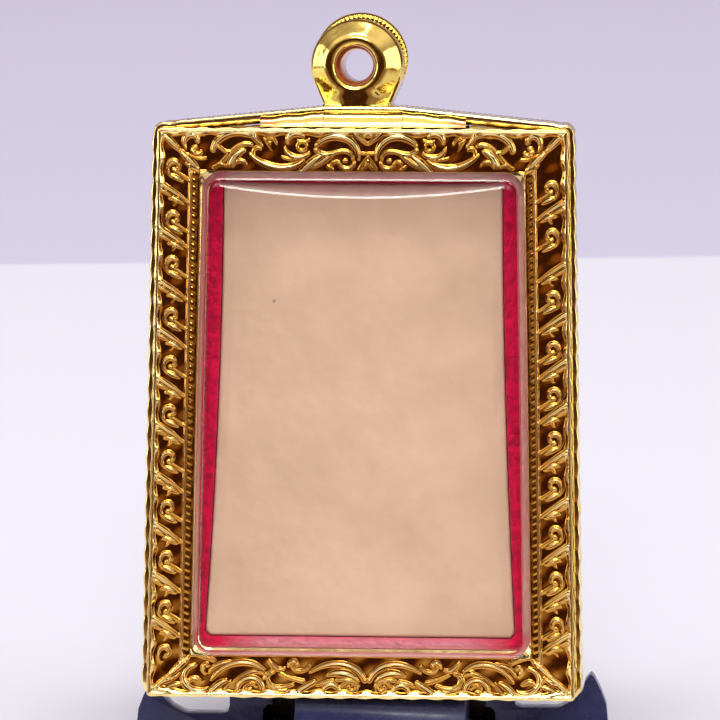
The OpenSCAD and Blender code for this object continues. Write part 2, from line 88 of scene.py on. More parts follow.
class Side(Enum):
    """The two faces of the case."""

    FRONT = "front"
    REAR = "rear"


class Bar(Enum):
    """The four bars of a frame."""

    TOP = "top"
    BOTTOM = "bottom"
    LEFT = "left"
    RIGHT = "right"


class Ends(Enum):
    """How a surface through closed rows of points ends: the last row is joined to the first,
    both are closed by triangles to their middle, or both by one face."""

    JOINED = "joined"
    FANNED = "fanned"
    CAPPED = "capped"


# Node helpers


@dataclass(frozen=True)
class Nodes:
    """Adds shader nodes to one tree, with what their inputs get."""

    tree: Tree

    def feed(self, node: Node, feeds: dict[str, Feed]) -> None:
        """Links sockets to a node's named inputs, or sets these to numbers and colours."""
        for name, value in feeds.items():
            if isinstance(value, Socket):
                self.tree.links.new(value, node.inputs[name])
            else:
                color = isinstance(value, tuple)
                node.inputs[name].default_value = (*value, 1.0) if color else value

    def noise(self, place: Socket, scale: float, detail: float = 3.0,
              roughness: float = 0.55) -> Socket:
        """Adds a noise texture.

        Args:
            place: the coordinates that it reads.
            scale: its grains per metre.
            detail: how many finer layers it adds.
            roughness: how strong these are.

        Returns:
            The noise's value, from 0 to 1.
        """
        node = self.tree.nodes.new("ShaderNodeTexNoise")
        self.feed(node, {"Vector": place, "Scale": scale, "Detail": detail,
                         "Roughness": roughness})
        return node.outputs["Fac"]

    def ramp(self, source: Socket, stops: Stops) -> Socket:
        """Adds a colour ramp of stops, pairs of position and colour, over a value."""
        node = self.tree.nodes.new("ShaderNodeValToRGB")
        self.feed(node, {"Fac": source})
        elements = node.color_ramp.elements
        while len(elements) < len(stops):
            elements.new(0.5)
        for element, (place, color) in zip(elements, stops):
            element.position = place
            element.color = (*color, 1.0)
        return node.outputs["Color"]

    def remap(self, source: Socket, low: float, high: float, to_low: float = 0.0,
              to_high: float = 1.0, kind: str = "LINEAR") -> Socket:
        """Adds a clamped map from low..high to to_low..to_high.

        Args:
            source: the value that it reads.
            low: value that becomes to_low.
            high: value that becomes to_high.
            to_low: result at low.
            to_high: result at high.
            kind: Blender's name of the map's course between these.

        Returns:
            The mapped value.
        """
        node = self.tree.nodes.new("ShaderNodeMapRange")
        node.interpolation_type = kind
        self.feed(node, {"Value": source, "From Min": low, "From Max": high, "To Min": to_low,
                         "To Max": to_high})
        return node.outputs["Result"]

    def blend(self, share: Socket, first: "Socket | Color", second: "Socket | Color") -> Socket:
        """Adds a mix of two colours, of which the share of the second one shows."""
        node = self.tree.nodes.new("ShaderNodeMix")
        node.data_type = "RGBA"
        self.feed(node, {"Factor": share, "A": first, "B": second})
        return node.outputs["Result"]

    def bump(self, height: Socket, distance: float, strength: float = 1.0,
             over: "Socket | None" = None) -> Socket:
        """Adds a bump.

        Args:
            height: the height that it reads, from 0 to 1.
            distance: the height of 1, in metres.
            strength: how much of the bump shows.
            over: a normal that it is laid over.

        Returns:
            The bumped normal.
        """
        node = self.tree.nodes.new("ShaderNodeBump")
        self.feed(node, {"Distance": distance, "Strength": strength, "Height": height})
        if over is not None:
            self.feed(node, {"Normal": over})
        return node.outputs["Normal"]

    def calculate(self, kind: str, *values: "Socket | float") -> Socket:
        """Adds a calculation, by Blender's name of it, over values in their order."""
        node = self.tree.nodes.new("ShaderNodeMath")
        node.operation = kind
        for place, value in enumerate(values):
            if isinstance(value, Socket):
                self.tree.links.new(value, node.inputs[place])
            else:
                node.inputs[place].default_value = value
        return node.outputs[0]

    def painted_light(self) -> Socket:
        """Reads how much painted light a point takes, as set_painted_light() stored it: painted
        shade on gold, the painted glow of the felt on the pane.
        """
        node = self.tree.nodes.new("ShaderNodeAttribute")
        node.attribute_name = "painted_light"
        return node.outputs["Fac"]

    def axes(self, place: Socket) -> bpy.types.bpy_prop_collection:
        """Splits coordinates into X, Y and Z."""
        node = self.tree.nodes.new("ShaderNodeSeparateXYZ")
        self.tree.links.new(place, node.inputs[0])
        return node.outputs


# Camera and studio


@dataclass(frozen=True)
class PhotoCamera:
    """The photograph's view of the case: angles in degrees, the rest in millimetres on the face
    and in pixels of the picture."""

    yaw: float = 3.35
    elevation: float = 14.4
    roll: float = -0.37
    distance: float = 400.0
    aim_x: float = -0.10
    aim_y: float = 27.03
    focal_px: float = 5058.0
    image_px: float = 720.0

    def place(self) -> None:
        """Makes the camera: it looks along the line from its place to the aimed point, turned by
        the roll about that line."""
        data = bpy.data.cameras.new("photo_camera")
        data.sensor_width = 36.0
        data.lens = self.focal_px / self.image_px * data.sensor_width
        data.clip_start = 0.01
        data.clip_end = 10.0
        camera = bpy.data.objects.new("photo_camera", data)
        bpy.context.scene.collection.objects.link(camera)
        side, rise = math.radians(self.yaw), math.radians(self.elevation)
        back = Vector((math.sin(side) * math.cos(rise), -math.cos(side) * math.cos(rise),
                       math.sin(rise)))
        right = Vector((0, 0, 1)).cross(back).normalized()
        up = back.cross(right)
        turn = math.radians(self.roll)
        right, up = (right * math.cos(turn) + up * math.sin(turn),
                     up * math.cos(turn) - right * math.sin(turn))
        aim = Vector(stand_up(np.array([[self.aim_x, self.aim_y, 0.0]]))[0])
        matrix = Matrix((right, up, back)).transposed().to_4x4()
        matrix.translation = aim + back * (self.distance * MILLIMETRE)
        camera.matrix_world = matrix
        bpy.context.scene.camera = camera


@dataclass(frozen=True)
class SoftLight:
    """One soft lamp, aimed at the case, in metres and watts."""

    name: str
    place: tuple[float, float, float]
    width: float
    height: float
    power: float
    aim: tuple[float, float, float] = (0.0, -0.005, 0.035)

    def hang(self) -> None:
        """Hangs the lamp, out of the camera's sight, and turns it to its aim."""
        data = bpy.data.lights.new(self.name, "AREA")
        data.shape = "RECTANGLE"
        data.size, data.size_y = self.width, self.height
        data.energy = self.power
        lamp = bpy.data.objects.new(self.name, data)
        bpy.context.scene.collection.objects.link(lamp)
        lamp.location = self.place
        lamp.rotation_mode = "QUATERNION"
        lamp.rotation_quaternion = (Vector(self.aim) - Vector(self.place)).to_track_quat("-Z", "Y")
        lamp.visible_camera = False


OVERHEAD_TONES: Stops = ((0.72, (1.3, 1.28, 1.26)), (1.0, (1.15, 1.13, 1.11)))


@dataclass(frozen=True)
class Studio:
    """A long paper floor that folds up into a far wall, and the world round it: pale overhead,
    brown behind the case, with a dark patch behind the camera. Tones go by the height of the
    line of sight, from 0 level to 1 straight up."""

    floor_back: float = 1.2
    floor_front: float = -1.2
    half_width: float = 1.6
    fold: float = 0.05
    wall_height: float = 1.4
    sky_tones: Stops = ((0.0, (0.44, 0.36, 0.27)), (0.30, (0.22, 0.185, 0.15)),
                        (0.55, (0.60, 0.58, 0.55)), *OVERHEAD_TONES)
    behind_tone: Color = (0.15, 0.085, 0.06)
    behind_soft: float = 0.12
    patch_tones: Stops = ((0.0, (0.32, 0.15, 0.08)), (0.03, (0.19, 0.080, 0.045)),
                          (0.080, (0.058, 0.021, 0.013)), (0.20, (0.050, 0.020, 0.013)),
                          (0.40, (0.12, 0.060, 0.038)), (0.56, (0.50, 0.46, 0.41)),
                          (0.70, OVERHEAD_TONES[0][1]), OVERHEAD_TONES[1])
    patch_way: tuple[float, float, float] = (-0.06, -0.98, 0.19)
    patch_edge: float = 0.52
    patch_full: float = 0.82

    def sweep(self, finish: Material) -> None:
        """Makes the floor and the far wall as one sheet, carried sideways: a straight run, a
        quarter circle, a straight rise."""
        run = np.linspace(self.floor_front, self.floor_back - self.fold, 24)
        bend = np.linspace(0, math.pi / 2, 17)[1:]
        rise = np.linspace(self.fold, self.wall_height, 12)[1:]
        y = np.concatenate([run, self.floor_back - self.fold + self.fold * np.sin(bend),
                            np.full(rise.size, self.floor_back)])
        z = np.concatenate([np.zeros(run.size), self.fold * (1 - np.cos(bend)), rise])
        x = np.linspace(-self.half_width, self.half_width, 9)
        grid_x, grid_y = np.meshgrid(x, y)
        grid_z = np.repeat(z[:, None], x.size, axis=1)
        points = np.stack([grid_x, grid_y, grid_z], axis=-1).reshape(-1, 3)
        quads = grid_faces(y.size, x.size, False, False)
        mesh_object("studio_sweep", (points, quads, []), finish)

    def room(self) -> None:
        """Fills the world: the sky's tones, the brown behind the case laid over them, and the
        patch laid over both, round its way."""
        world = bpy.data.worlds.new("studio_room")
        bpy.context.scene.world = world
        world.use_nodes = True
        tree = world.node_tree
        tree.nodes.clear()
        nodes = Nodes(tree)
        sight = tree.nodes.new("ShaderNodeTexCoord").outputs["Generated"]
        axes = nodes.axes(sight)
        behind = nodes.remap(axes["Y"], -self.behind_soft, self.behind_soft)
        sky = nodes.blend(behind, nodes.ramp(axes["Z"], self.sky_tones), self.behind_tone)
        toward = tree.nodes.new("ShaderNodeVectorMath")
        toward.operation = "DOT_PRODUCT"
        toward.inputs[1].default_value = self.patch_way
        tree.links.new(sight, toward.inputs[0])
        share = nodes.remap(toward.outputs["Value"], self.patch_edge, self.patch_full,
                            kind="SMOOTHSTEP")
        back = tree.nodes.new("ShaderNodeBackground")
        nodes.feed(back, {"Strength": 1.0, "Color": nodes.blend(
            share, sky, nodes.ramp(axes["Z"], self.patch_tones))})
        out = tree.nodes.new("ShaderNodeOutputWorld")
        nodes.feed(out, {"Surface": back.outputs[0]})

    @staticmethod
    def develop() -> None:
        """Shows colours as they are, without a film curve."""
        view = bpy.context.scene.view_settings
        view.view_transform = "Standard"
        view.look = "None"
        view.exposure = 0.0

    @staticmethod
    def light() -> None:
        """Hangs the lamps: one overhead, one in front and one at each side."""
        for lamp in (SoftLight("overhead", (0.02, -0.17, 0.95), 0.50, 0.15, 3.5),
                     SoftLight("front", (0.03, -0.62, 0.52), 0.22, 0.14, 1.1),
                     SoftLight("left_wing", (-0.58, -0.15, 0.20), 0.28, 0.34, 1.0),
                     SoftLight("right_wing", (0.58, -0.17, 0.20), 0.24, 0.34, 0.7)):
            lamp.hang()


# Finishes


@dataclass(frozen=True)
class Finish(ABC):
    """A material with one Principled shader. Each kind says what the shader's inputs get."""

    name: str

    @abstractmethod
    def inputs(self, nodes: Nodes, place: Socket) -> dict[str, Feed]:
        """What the shader's inputs get.

        Args:
            nodes: adds nodes to the material.
            place: the Object coordinates.

        Returns:
            A socket, number or colour for each input's name.
        """

    def material(self) -> Material:
        """Builds the material.

        Returns:
            The material.
        """
        material = bpy.data.materials.new(self.name)
        material.use_nodes = True
        tree = material.node_tree
        tree.nodes.clear()
        nodes = Nodes(tree)
        coords = tree.nodes.new("ShaderNodeTexCoord")
        shader = tree.nodes.new("ShaderNodeBsdfPrincipled")
        out = tree.nodes.new("ShaderNodeOutputMaterial")
        nodes.feed(out, {"Surface": shader.outputs[0]})
        nodes.feed(shader, self.inputs(nodes, coords.outputs["Object"]))
        return material


@dataclass(frozen=True)
class GoldPlate(Finish):
    """Polished gold plate over a casting, with fine ripples, and painted shade that turns its
    recesses brown.
    """

    color: Color = (1.0, 0.70, 0.12)
    # deep: the brown of the random patches, and the colour of the painted shade.
    deep: Color = (0.62, 0.295, 0.045)
    ripple: float = 0.000006
    ripple_scale: float = 1400.0
    paints_shade: bool = False

    def inputs(self, nodes: Nodes, place: Socket) -> dict[str, Feed]:
        """Gold, brown in soft random patches and darker brown where painted shade lies in its
        recesses, with wear and ripples.
        """
        patches = nodes.remap(nodes.noise(place, 260.0, 2.0), 0.42, 0.62, to_high=0.35)
        color = nodes.blend(patches, self.color, self.deep)
        # Painted shade: the deeper a point lies, as the piece stores it, the browner the gold.
        if self.paints_shade:
            color = nodes.blend(nodes.remap(nodes.painted_light(), 0.32, 0.70), color, self.deep)
        wear = nodes.noise(place, 2600.0, 4.0)
        ripples = nodes.noise(place, self.ripple_scale, 2.0)
        return {"Metallic": 1.0, "Base Color": color,
                "Roughness": nodes.remap(wear, 0.35, 0.7, 0.06, 0.16),
                "Normal": nodes.bump(ripples, self.ripple)}


@dataclass(frozen=True)
class ClearAcrylic(Finish):
    """Clear acrylic with the faintest haze of handling; its sides carry a painted mauve glow of the
    felt.
    """

    name: str = "clear_acrylic"
    color: Color = (0.985, 0.965, 0.99)
    # glow: the felt's colour, painted on the pane's sides as its reflection.
    glow: Color = (0.56, 0.26, 0.36)
    frost: float = 0.42

    def inputs(self, nodes: Nodes, place: Socket) -> dict[str, Feed]:
        """Clear plastic, smeared, with the painted glow of the felt and the frost streaked over its
        sides.
        """
        streaks = nodes.remap(nodes.noise(place, 900.0), 0.35, 0.65, 0.75)
        share = nodes.calculate("MULTIPLY", nodes.painted_light(), streaks)
        smears = nodes.remap(nodes.noise(place, 320.0, 4.0), 0.4, 0.75, 0.015, 0.07)
        return {"Base Color": nodes.blend(share, self.color, self.glow),
                "Transmission Weight": 1.0, "IOR": 1.49,
                "Roughness": nodes.calculate("MULTIPLY_ADD", share, self.frost, smears)}


@dataclass(frozen=True)
class PressedClay(Finish):
    """Cream pressed clay, softly mottled, with a few dark specks."""

    name: str = "pressed_clay"
    color: Color = (0.565, 0.39, 0.257)
    pale: Color = (0.65, 0.45, 0.31)
    grain: Color = (0.48, 0.31, 0.20)
    speck: Color = (0.20, 0.12, 0.08)
    specks_per_metre: float = 150.0

    def inputs(self, nodes: Nodes, place: Socket) -> dict[str, Feed]:
        """Clay in pale clouds, fine grain over them and specks on top, dented and porous."""
        clouds = nodes.remap(nodes.noise(place, 120.0, 4.0), 0.38, 0.66)
        color = nodes.blend(clouds, self.color, self.pale)
        grain = nodes.remap(nodes.noise(place, 2200.0), 0.3, 0.75, to_high=0.10)
        color = nodes.blend(grain, color, self.grain)
        dots = nodes.tree.nodes.new("ShaderNodeTexVoronoi")
        nodes.feed(dots, {"Scale": self.specks_per_metre, "Vector": place})
        spots = nodes.remap(dots.outputs["Distance"], 0.018, 0.032, 0.75, 0.0)
        dents = nodes.bump(nodes.noise(place, 160.0), 0.0006, 0.5)
        pores = nodes.bump(nodes.noise(place, 3200.0), 0.00002, 0.6, dents)
        return {"Base Color": nodes.blend(spots, color, self.speck), "Roughness": 0.62,
                "Specular IOR Level": 0.35, "Normal": pores}


@dataclass(frozen=True)
class Felt(Finish):
    """Crimson felt with a short nap, painted a paler, dusty pink along the middle of its foot as a
    highlight.
    """

    name: str = "crimson_felt"
    color: Color = (0.60, 0.0, 0.045)
    dark: Color = (0.32, 0.0, 0.026)
    # painted_highlight: the paler pink painted where a pale glare lies along the foot.
    painted_highlight: Color = (0.58, 0.24, 0.27)
    highlight_share: float = 0.85
    highlight_foot: tuple[float, float] = (0.0126, 0.0118)
    highlight_sides: tuple[float, float] = (0.0118, 0.0080)

    def inputs(self, nodes: Nodes, place: Socket) -> dict[str, Feed]:
        """Felt in light and dark clumps, with a painted highlight of paler pink where a point is
        both low and near the middle.
        """
        clumps = nodes.remap(nodes.noise(place, 1500.0, 5.0), 0.35, 0.65)
        axes = nodes.axes(place)
        foot = nodes.remap(axes["Z"], *self.highlight_foot, to_high=self.highlight_share)
        middle = nodes.remap(nodes.calculate("ABSOLUTE", axes["X"]), *self.highlight_sides)
        shown_share = nodes.calculate("MULTIPLY", foot, middle)
        color = nodes.blend(shown_share, nodes.blend(clumps, self.dark, self.color), self.painted_highlight)
        fibres = nodes.noise(place, 5200.0, 4.0, roughness=0.7)
        return {"Base Color": color, "Roughness": 0.9, "Sheen Weight": 0.35,
                "Sheen Tint": (1.0, 0.35, 0.5), "Specular IOR Level": 0.15,
                "Normal": nodes.bump(fibres, 0.00008, 0.8)}


@dataclass(frozen=True)
class NavyPlastic(Finish):
    """Glossy navy moulded plastic with faint flow marks."""

    name: str = "navy_plastic"
    color: Color = (0.026, 0.028, 0.088)
    pale: Color = (0.033, 0.035, 0.104)

    def inputs(self, nodes: Nodes, place: Socket) -> dict[str, Feed]:
        """Plastic with paler flow marks, scuffs and a thin coat."""
        flow = nodes.remap(nodes.noise(place, 90.0), 0.35, 0.7)
        scuffs = nodes.noise(place, 900.0, 5.0)
        waves = nodes.noise(place, 420.0, 2.0)
        return {"Base Color": nodes.blend(flow, self.color, self.pale),
                "Roughness": nodes.remap(scuffs, 0.4, 0.75, 0.22, 0.42),
                "Specular IOR Level": 0.3, "Coat Weight": 0.1, "Coat Roughness": 0.12,
                "Normal": nodes.bump(waves, 0.00001, 0.5)}


@dataclass(frozen=True)
class StudioPaper(Finish):
    """Pale paper: whiter round the case, lilac beyond a slanting seam, and browner in front of the
    case as painted shade, which the gold reflects.
    """

    name: str = "studio_paper"
    table: Color = (0.87, 0.87, 0.97)
    far: Color = (0.70, 0.67, 0.85)
    # front: painted shade on the paper in front of the case, seen in the gold.
    front: Color = (0.24, 0.15, 0.10)
    seam: float = 0.171
    seam_soft: float = 0.001
    skew: float = 0.08
    front_fade: tuple[float, float] = (-0.05, -0.18)

    def inputs(self, nodes: Nodes, place: Socket) -> dict[str, Feed]:
        """Paper whose colour goes by Y, with the seam's Y growing with X by the skew."""
        axes = nodes.axes(place)
        turned = nodes.calculate("MULTIPLY_ADD", axes["X"], -self.skew, axes["Y"])
        beyond = nodes.remap(turned, self.seam - self.seam_soft, self.seam + self.seam_soft)
        near = nodes.remap(axes["Y"], *self.front_fade)
        color = nodes.blend(beyond, self.table, self.far)
        return {"Base Color": nodes.blend(near, color, self.front), "Roughness": 0.7}


# Mesh helpers


def grid_faces(rows: int, columns: int, close_rows: bool, close_columns: bool) -> Array:
    """The quads of a grid: each joins four neighbouring points.

    Args:
        rows: number of rows of points.
        columns: number of points in a row.
        close_rows: joins the last row to the first.
        close_columns: joins the last point of a row to its first.

    Returns:
        Rows of four point numbers.
    """
    row = np.arange(rows if close_rows else rows - 1)
    column = np.arange(columns if close_columns else columns - 1)
    i, j = (a.ravel() for a in np.meshgrid(row, column, indexing="ij"))
    i_next, j_next = (i + 1) % rows, (j + 1) % columns
    return np.stack([i * columns + j, i_next * columns + j, i_next * columns + j_next,
                     i * columns + j_next], axis=1)


def enclosed_volume(points: Array, faces: Array) -> float:
    """Signed volume inside quads: the sum of the tetrahedra between each half quad and the
    origin.

    Args:
        points: rows of x, y, z.
        faces: rows of four point numbers.

    Returns:
        The volume, above zero where the quads face outwards.
    """
    a, b, c, d = (points[faces[:, k]] for k in range(4))
    return float(np.sum(np.einsum("ij,ij->i", a, np.cross(b, c)))
                 + np.sum(np.einsum("ij,ij->i", a, np.cross(c, d)))) / 6


def lofted(rows: "list[Array] | Array", ends: Ends) -> Surface:
    """A surface through closed rows of points.

    Args:
        rows: arrays of x, y, z, each with as many points.
        ends: how the first and last row are closed.

    Returns:
        Points, quads and other faces, facing outwards.
    """
    count, columns = len(rows), len(rows[0])
    points = np.concatenate(rows)
    quads = grid_faces(count, columns, ends is Ends.JOINED, True)
    here = np.arange(columns)
    base = (count - 1) * columns
    others: list[list[int]] = []
    if ends is Ends.FANNED:
        first, last = len(points), len(points) + 1
        points = np.concatenate([points, rows[0].mean(0)[None], rows[-1].mean(0)[None]])
        after = (here + 1) % columns
        others = (np.stack([np.full(columns, first), here, after], 1).tolist()
                  + np.stack([np.full(columns, last), base + after, base + here], 1).tolist())
    elif ends is Ends.CAPPED:
        others = [here.tolist(), (base + here)[::-1].tolist()]
    if enclosed_volume(points, quads) < 0:
        quads = quads[:, ::-1]
        others = [face[::-1] for face in others]
    return points, quads, others


def merged(parts: list[Surface]) -> Surface:
    """Joins surfaces into one, with their points numbered on."""
    points, quads, others, count = [], [], [], 0
    for part_points, part_quads, part_others in parts:
        points.append(part_points)
        quads.append(part_quads + count)
        others += [[k + count for k in face] for face in part_others]
        count += len(part_points)
    return np.concatenate(points), np.concatenate(quads), others


def mesh_object(name: str, surface: Surface, finish: Material, flat_others: bool = True) -> Item:
    """Makes an object of a surface, with its quads smooth.

    Args:
        name: the object's name.
        surface: points in metres, quads and other faces.
        finish: the object's material.
        flat_others: shades the other faces flat.

    Returns:
        The object, at the origin.
    """
    points, quads, others = surface
    mesh = bpy.data.meshes.new(name)
    mesh.from_pydata(points.tolist(), [], quads.tolist() + others)
    smooth = np.ones(len(mesh.polygons), dtype=bool)
    if flat_others:
        smooth[len(quads):] = False
    mesh.polygons.foreach_set("use_smooth", smooth)
    mesh.materials.append(finish)
    mesh.update()
    item = bpy.data.objects.new(name, mesh)
    bpy.context.scene.collection.objects.link(item)
    return item


def set_painted_light(item: Item, depth: Array) -> None:
    """Stores how much painted light each point of a piece takes, from 0 to 1, for its finish:
    painted shade that turns gold brown, or the painted glow of the felt on the pane.
    """
    layer = item.data.attributes.new("painted_light", "FLOAT", "POINT")
    layer.data.foreach_set("value", depth.astype(np.float32))


def fix_piece(item: Item, node: str) -> Item:
    """Fixes a piece to the part, hides the CAD node that it replaces and logs its number of faces.
    """
    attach(item, "root")
    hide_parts(node)
    LOG.info("%s: %d faces", item.name, len(item.data.polygons))
    return item


def add_piece(name: str, surface: Surface, finish: Material, node: str,
              painted_light: "Array | None" = None, flat_others: bool = True) -> Item:
    """Makes a piece of the case from a surface on its face.

    Args:
        name: the piece's name.
        surface: points on the face, in millimetres, quads and other faces.
        finish: its material.
        node: the CAD node that it replaces.
        painted_light: how much painted shade or painted glow each point takes, or None.
        flat_others: shades the other faces flat.

    Returns:
        The piece.
    """
    points, quads, others = surface
    item = mesh_object(name, (stand_up(points), quads, others), finish, flat_others)
    if painted_light is not None:
        set_painted_light(item, painted_light)
    return fix_piece(item, node)


def smooth_ramp(t: "Array | float") -> "Array | float":
    """An S-shaped rise from 0 to 1: 3t² - 2t³, held at 0 and 1 outside."""
    t = np.clip(t, 0.0, 1.0)
    return t * t * (3 - 2 * t)


# The case's sizes


@dataclass(frozen=True)
class CaseSizes:
    """Sizes of the case that several pieces share, in millimetres."""

    top_w: float = 32.45
    bottom_w: float = 34.15
    height: float = 45.3
    side_bar: float = 3.45
    top_bar: float = 3.4
    bottom_bar: float = 3.3
    depth: float = 8.6
    frame_t: float = 1.5
    gap: float = 0.05
    flange_t: float = 0.65
    pane_gap: float = 0.56
    pane_rise: float = 1.0
    scallop_pitch: float = 1.93

    def half_width(self, y: "Array | float") -> "Array | float":
        """Half the frame's width at a height: a straight taper."""
        return (self.bottom_w + (self.top_w - self.bottom_w) * y / self.height) / 2

    def outline(self, side: float, top: float, bottom: float, radius: float,
                roof: tuple[tuple[float, float], ...] = ()) -> Array:
        """The frame's outline moved inwards, with rounded corners, as dense points.

        Args:
            side: distance in from the sides.
            top: distance down from the top.
            bottom: distance up from the bottom.
            radius: corner radius.
            roof: points added along the top edge, from right to left.

        Returns:
            Rows of x, y along the closed outline, anticlockwise, about every 0.05 mm.
        """
        low, high = bottom, self.height - top
        wide_low = self.half_width(low) - side
        wide_high = self.half_width(high) - side
        r = radius
        turn = np.linspace(0, math.pi / 2, 13)

        def corner(x: float, y: float, start: float) -> Array:
            """A quarter circle of the outline's radius round x, y."""
            return np.stack([x + r * np.cos(start + turn), y + r * np.sin(start + turn)], 1)

        ends = [corner(wide_low - r, low + r, -math.pi / 2), corner(wide_high - r, high - r, 0.0)]
        if roof:
            ends.append(np.array(roof))
        ends += [corner(r - wide_high, high - r, math.pi / 2),
                 corner(r - wide_low, low + r, math.pi)]
        return densified(np.concatenate(ends))

    def centre(self) -> Array:
        """The middle of the face, from which outlines are seen as distances by angle."""
        return np.array([0.0, self.height / 2])


CASE = CaseSizes()
OUTLINE_STEP = 0.05


def densified(corners: Array, step: float = OUTLINE_STEP) -> Array:
    """Points about a step apart along a closed outline.

    Args:
        corners: rows of x, y.
        step: distance between points.

    Returns:
        Rows of x, y.
    """
    closed = np.concatenate([corners, corners[:1]])
    length = np.concatenate([[0.0], np.cumsum(np.linalg.norm(np.diff(closed, axis=0), axis=1))])
    at = np.linspace(0, length[-1], max(8, int(length[-1] / step)), endpoint=False)
    return np.stack([np.interp(at, length, closed[:, k]) for k in range(2)], axis=1)


def bearings(outline: Array, count: int) -> Array:
    """Angles of evenly spaced points of an outline, seen from the middle of the face.

    Args:
        outline: rows of x, y.
        count: number of points.

    Returns:
        Angles in radians, rising.
    """
    even = densified(outline, 0.02)
    pick = even[np.linspace(0, len(even), count, endpoint=False).astype(int)]
    away = pick - CASE.centre()
    return np.sort(np.arctan2(away[:, 1], away[:, 0]))


def at_bearings(outline: Array, angles: Array, middle: "Array | None" = None) -> Array:
    """The points where an outline is met at given angles from a middle.

    Args:
        outline: rows of x, y, seen once from the middle at each angle.
        angles: angles in radians.
        middle: the middle, or None for that of the face.

    Returns:
        Rows of x, y.
    """
    centre = CASE.centre() if middle is None else middle
    away = outline - centre
    angle = np.arctan2(away[:, 1], away[:, 0])
    order = np.argsort(angle)
    angle = angle[order]
    wrapped = np.concatenate([angle[-1:] - 2 * math.pi, angle, angle[:1] + 2 * math.pi])
    columns = []
    for k in range(2):
        value = away[order, k]
        wide = np.concatenate([value[-1:], value, value[:1]])
        columns.append(np.interp(angles, wrapped, wide) + centre[k])
    return np.stack(columns, axis=1)


def at_depth(flat: Array, z: "float | Array") -> Array:
    """Points of the face at a depth: the third column is z."""
    return np.column_stack([flat, np.broadcast_to(z, len(flat))])


# Ornament


@dataclass(frozen=True)
class Stroke:
    """One raised stroke: start, first heading, length, turn, swing and three widths."""

    x: float
    y: float
    angle: float
    run: float
    turn: float
    swing: float
    start_w: float
    middle_w: float
    end_w: float

    def line(self, count: int) -> tuple[Array, Array]:
        """The stroke's centre line: each step goes run / count along the heading at its middle,
        angle + turn f + swing (f² - f), and the width is the parabola through three widths.

        Args:
            count: number of steps.

        Returns:
            Rows of x, y, and the width at each.
        """
        middle = (np.arange(count) + 0.5) / count
        heading = np.radians(self.angle + self.turn * middle + self.swing * (middle**2 - middle))
        step = self.run / count * np.stack([np.cos(heading), np.sin(heading)], axis=1)
        points = np.array([self.x, self.y]) + np.concatenate([np.zeros((1, 2)),
                                                              np.cumsum(step, axis=0)])
        f = np.linspace(0, 1, count + 1)
        width = (self.start_w * (1 - f) * (1 - 2 * f) + 4 * self.middle_w * f * (1 - f)
                 + self.end_w * f * (2 * f - 1))
        return points, width


# Side unit: x inwards from the rim's outer edge, y up from where the leaf leaves the rim.
#    x,     y,     angle, run,  turn, swing, w0,   w1,   w2
SIDE_ROWS = (
    (0.04,  0.42,  -32,  2.99, -4,   -2,   0.40, 0.36, 0.12),
    (0.12,  -0.11, -30,  1.27, 3,    0,    0.16, 0.27, 0.12),
    (1.03,  -0.95, 17,   1.25, -38,  95,   0.12, 0.32, 0.10),
    (1.59,  -1.12, -124, 0.43, 0,    0,    0.16, 0.14, 0.08),
    (0.05,  -0.88, -52,  1.33, -91,  -42,  0.12, 0.32, 0.12),
    (1.08,  -3.31, 132,  2.71, -320, -209, 0.12, 0.30, 0.16),
    (1.31,  -2.81, -36,  1.45, 9,    7,    0.19, 0.17, 0.12),
    (1.14,  -3.27, -19,  0.96, -10,  0,    0.16, 0.32, 0.12))

# The side unit's curl, by its rows, and the heights where the leaves and the top curl start.
CURL_ROWS = (5, 6, 7)
LEFT_ROOTS = (40.65, 37.08, 32.95, 29.14, 25.25, 21.6, 17.63, 13.58, 9.6, 6.05)
RIGHT_ROOTS = (39.4, 34.5, 30.5, 26.85, 23.33, 19.67, 15.85, 12.15, 8.52, 5.1)
LEFT_CURL = 44.75
RIGHT_CURL = 43.15

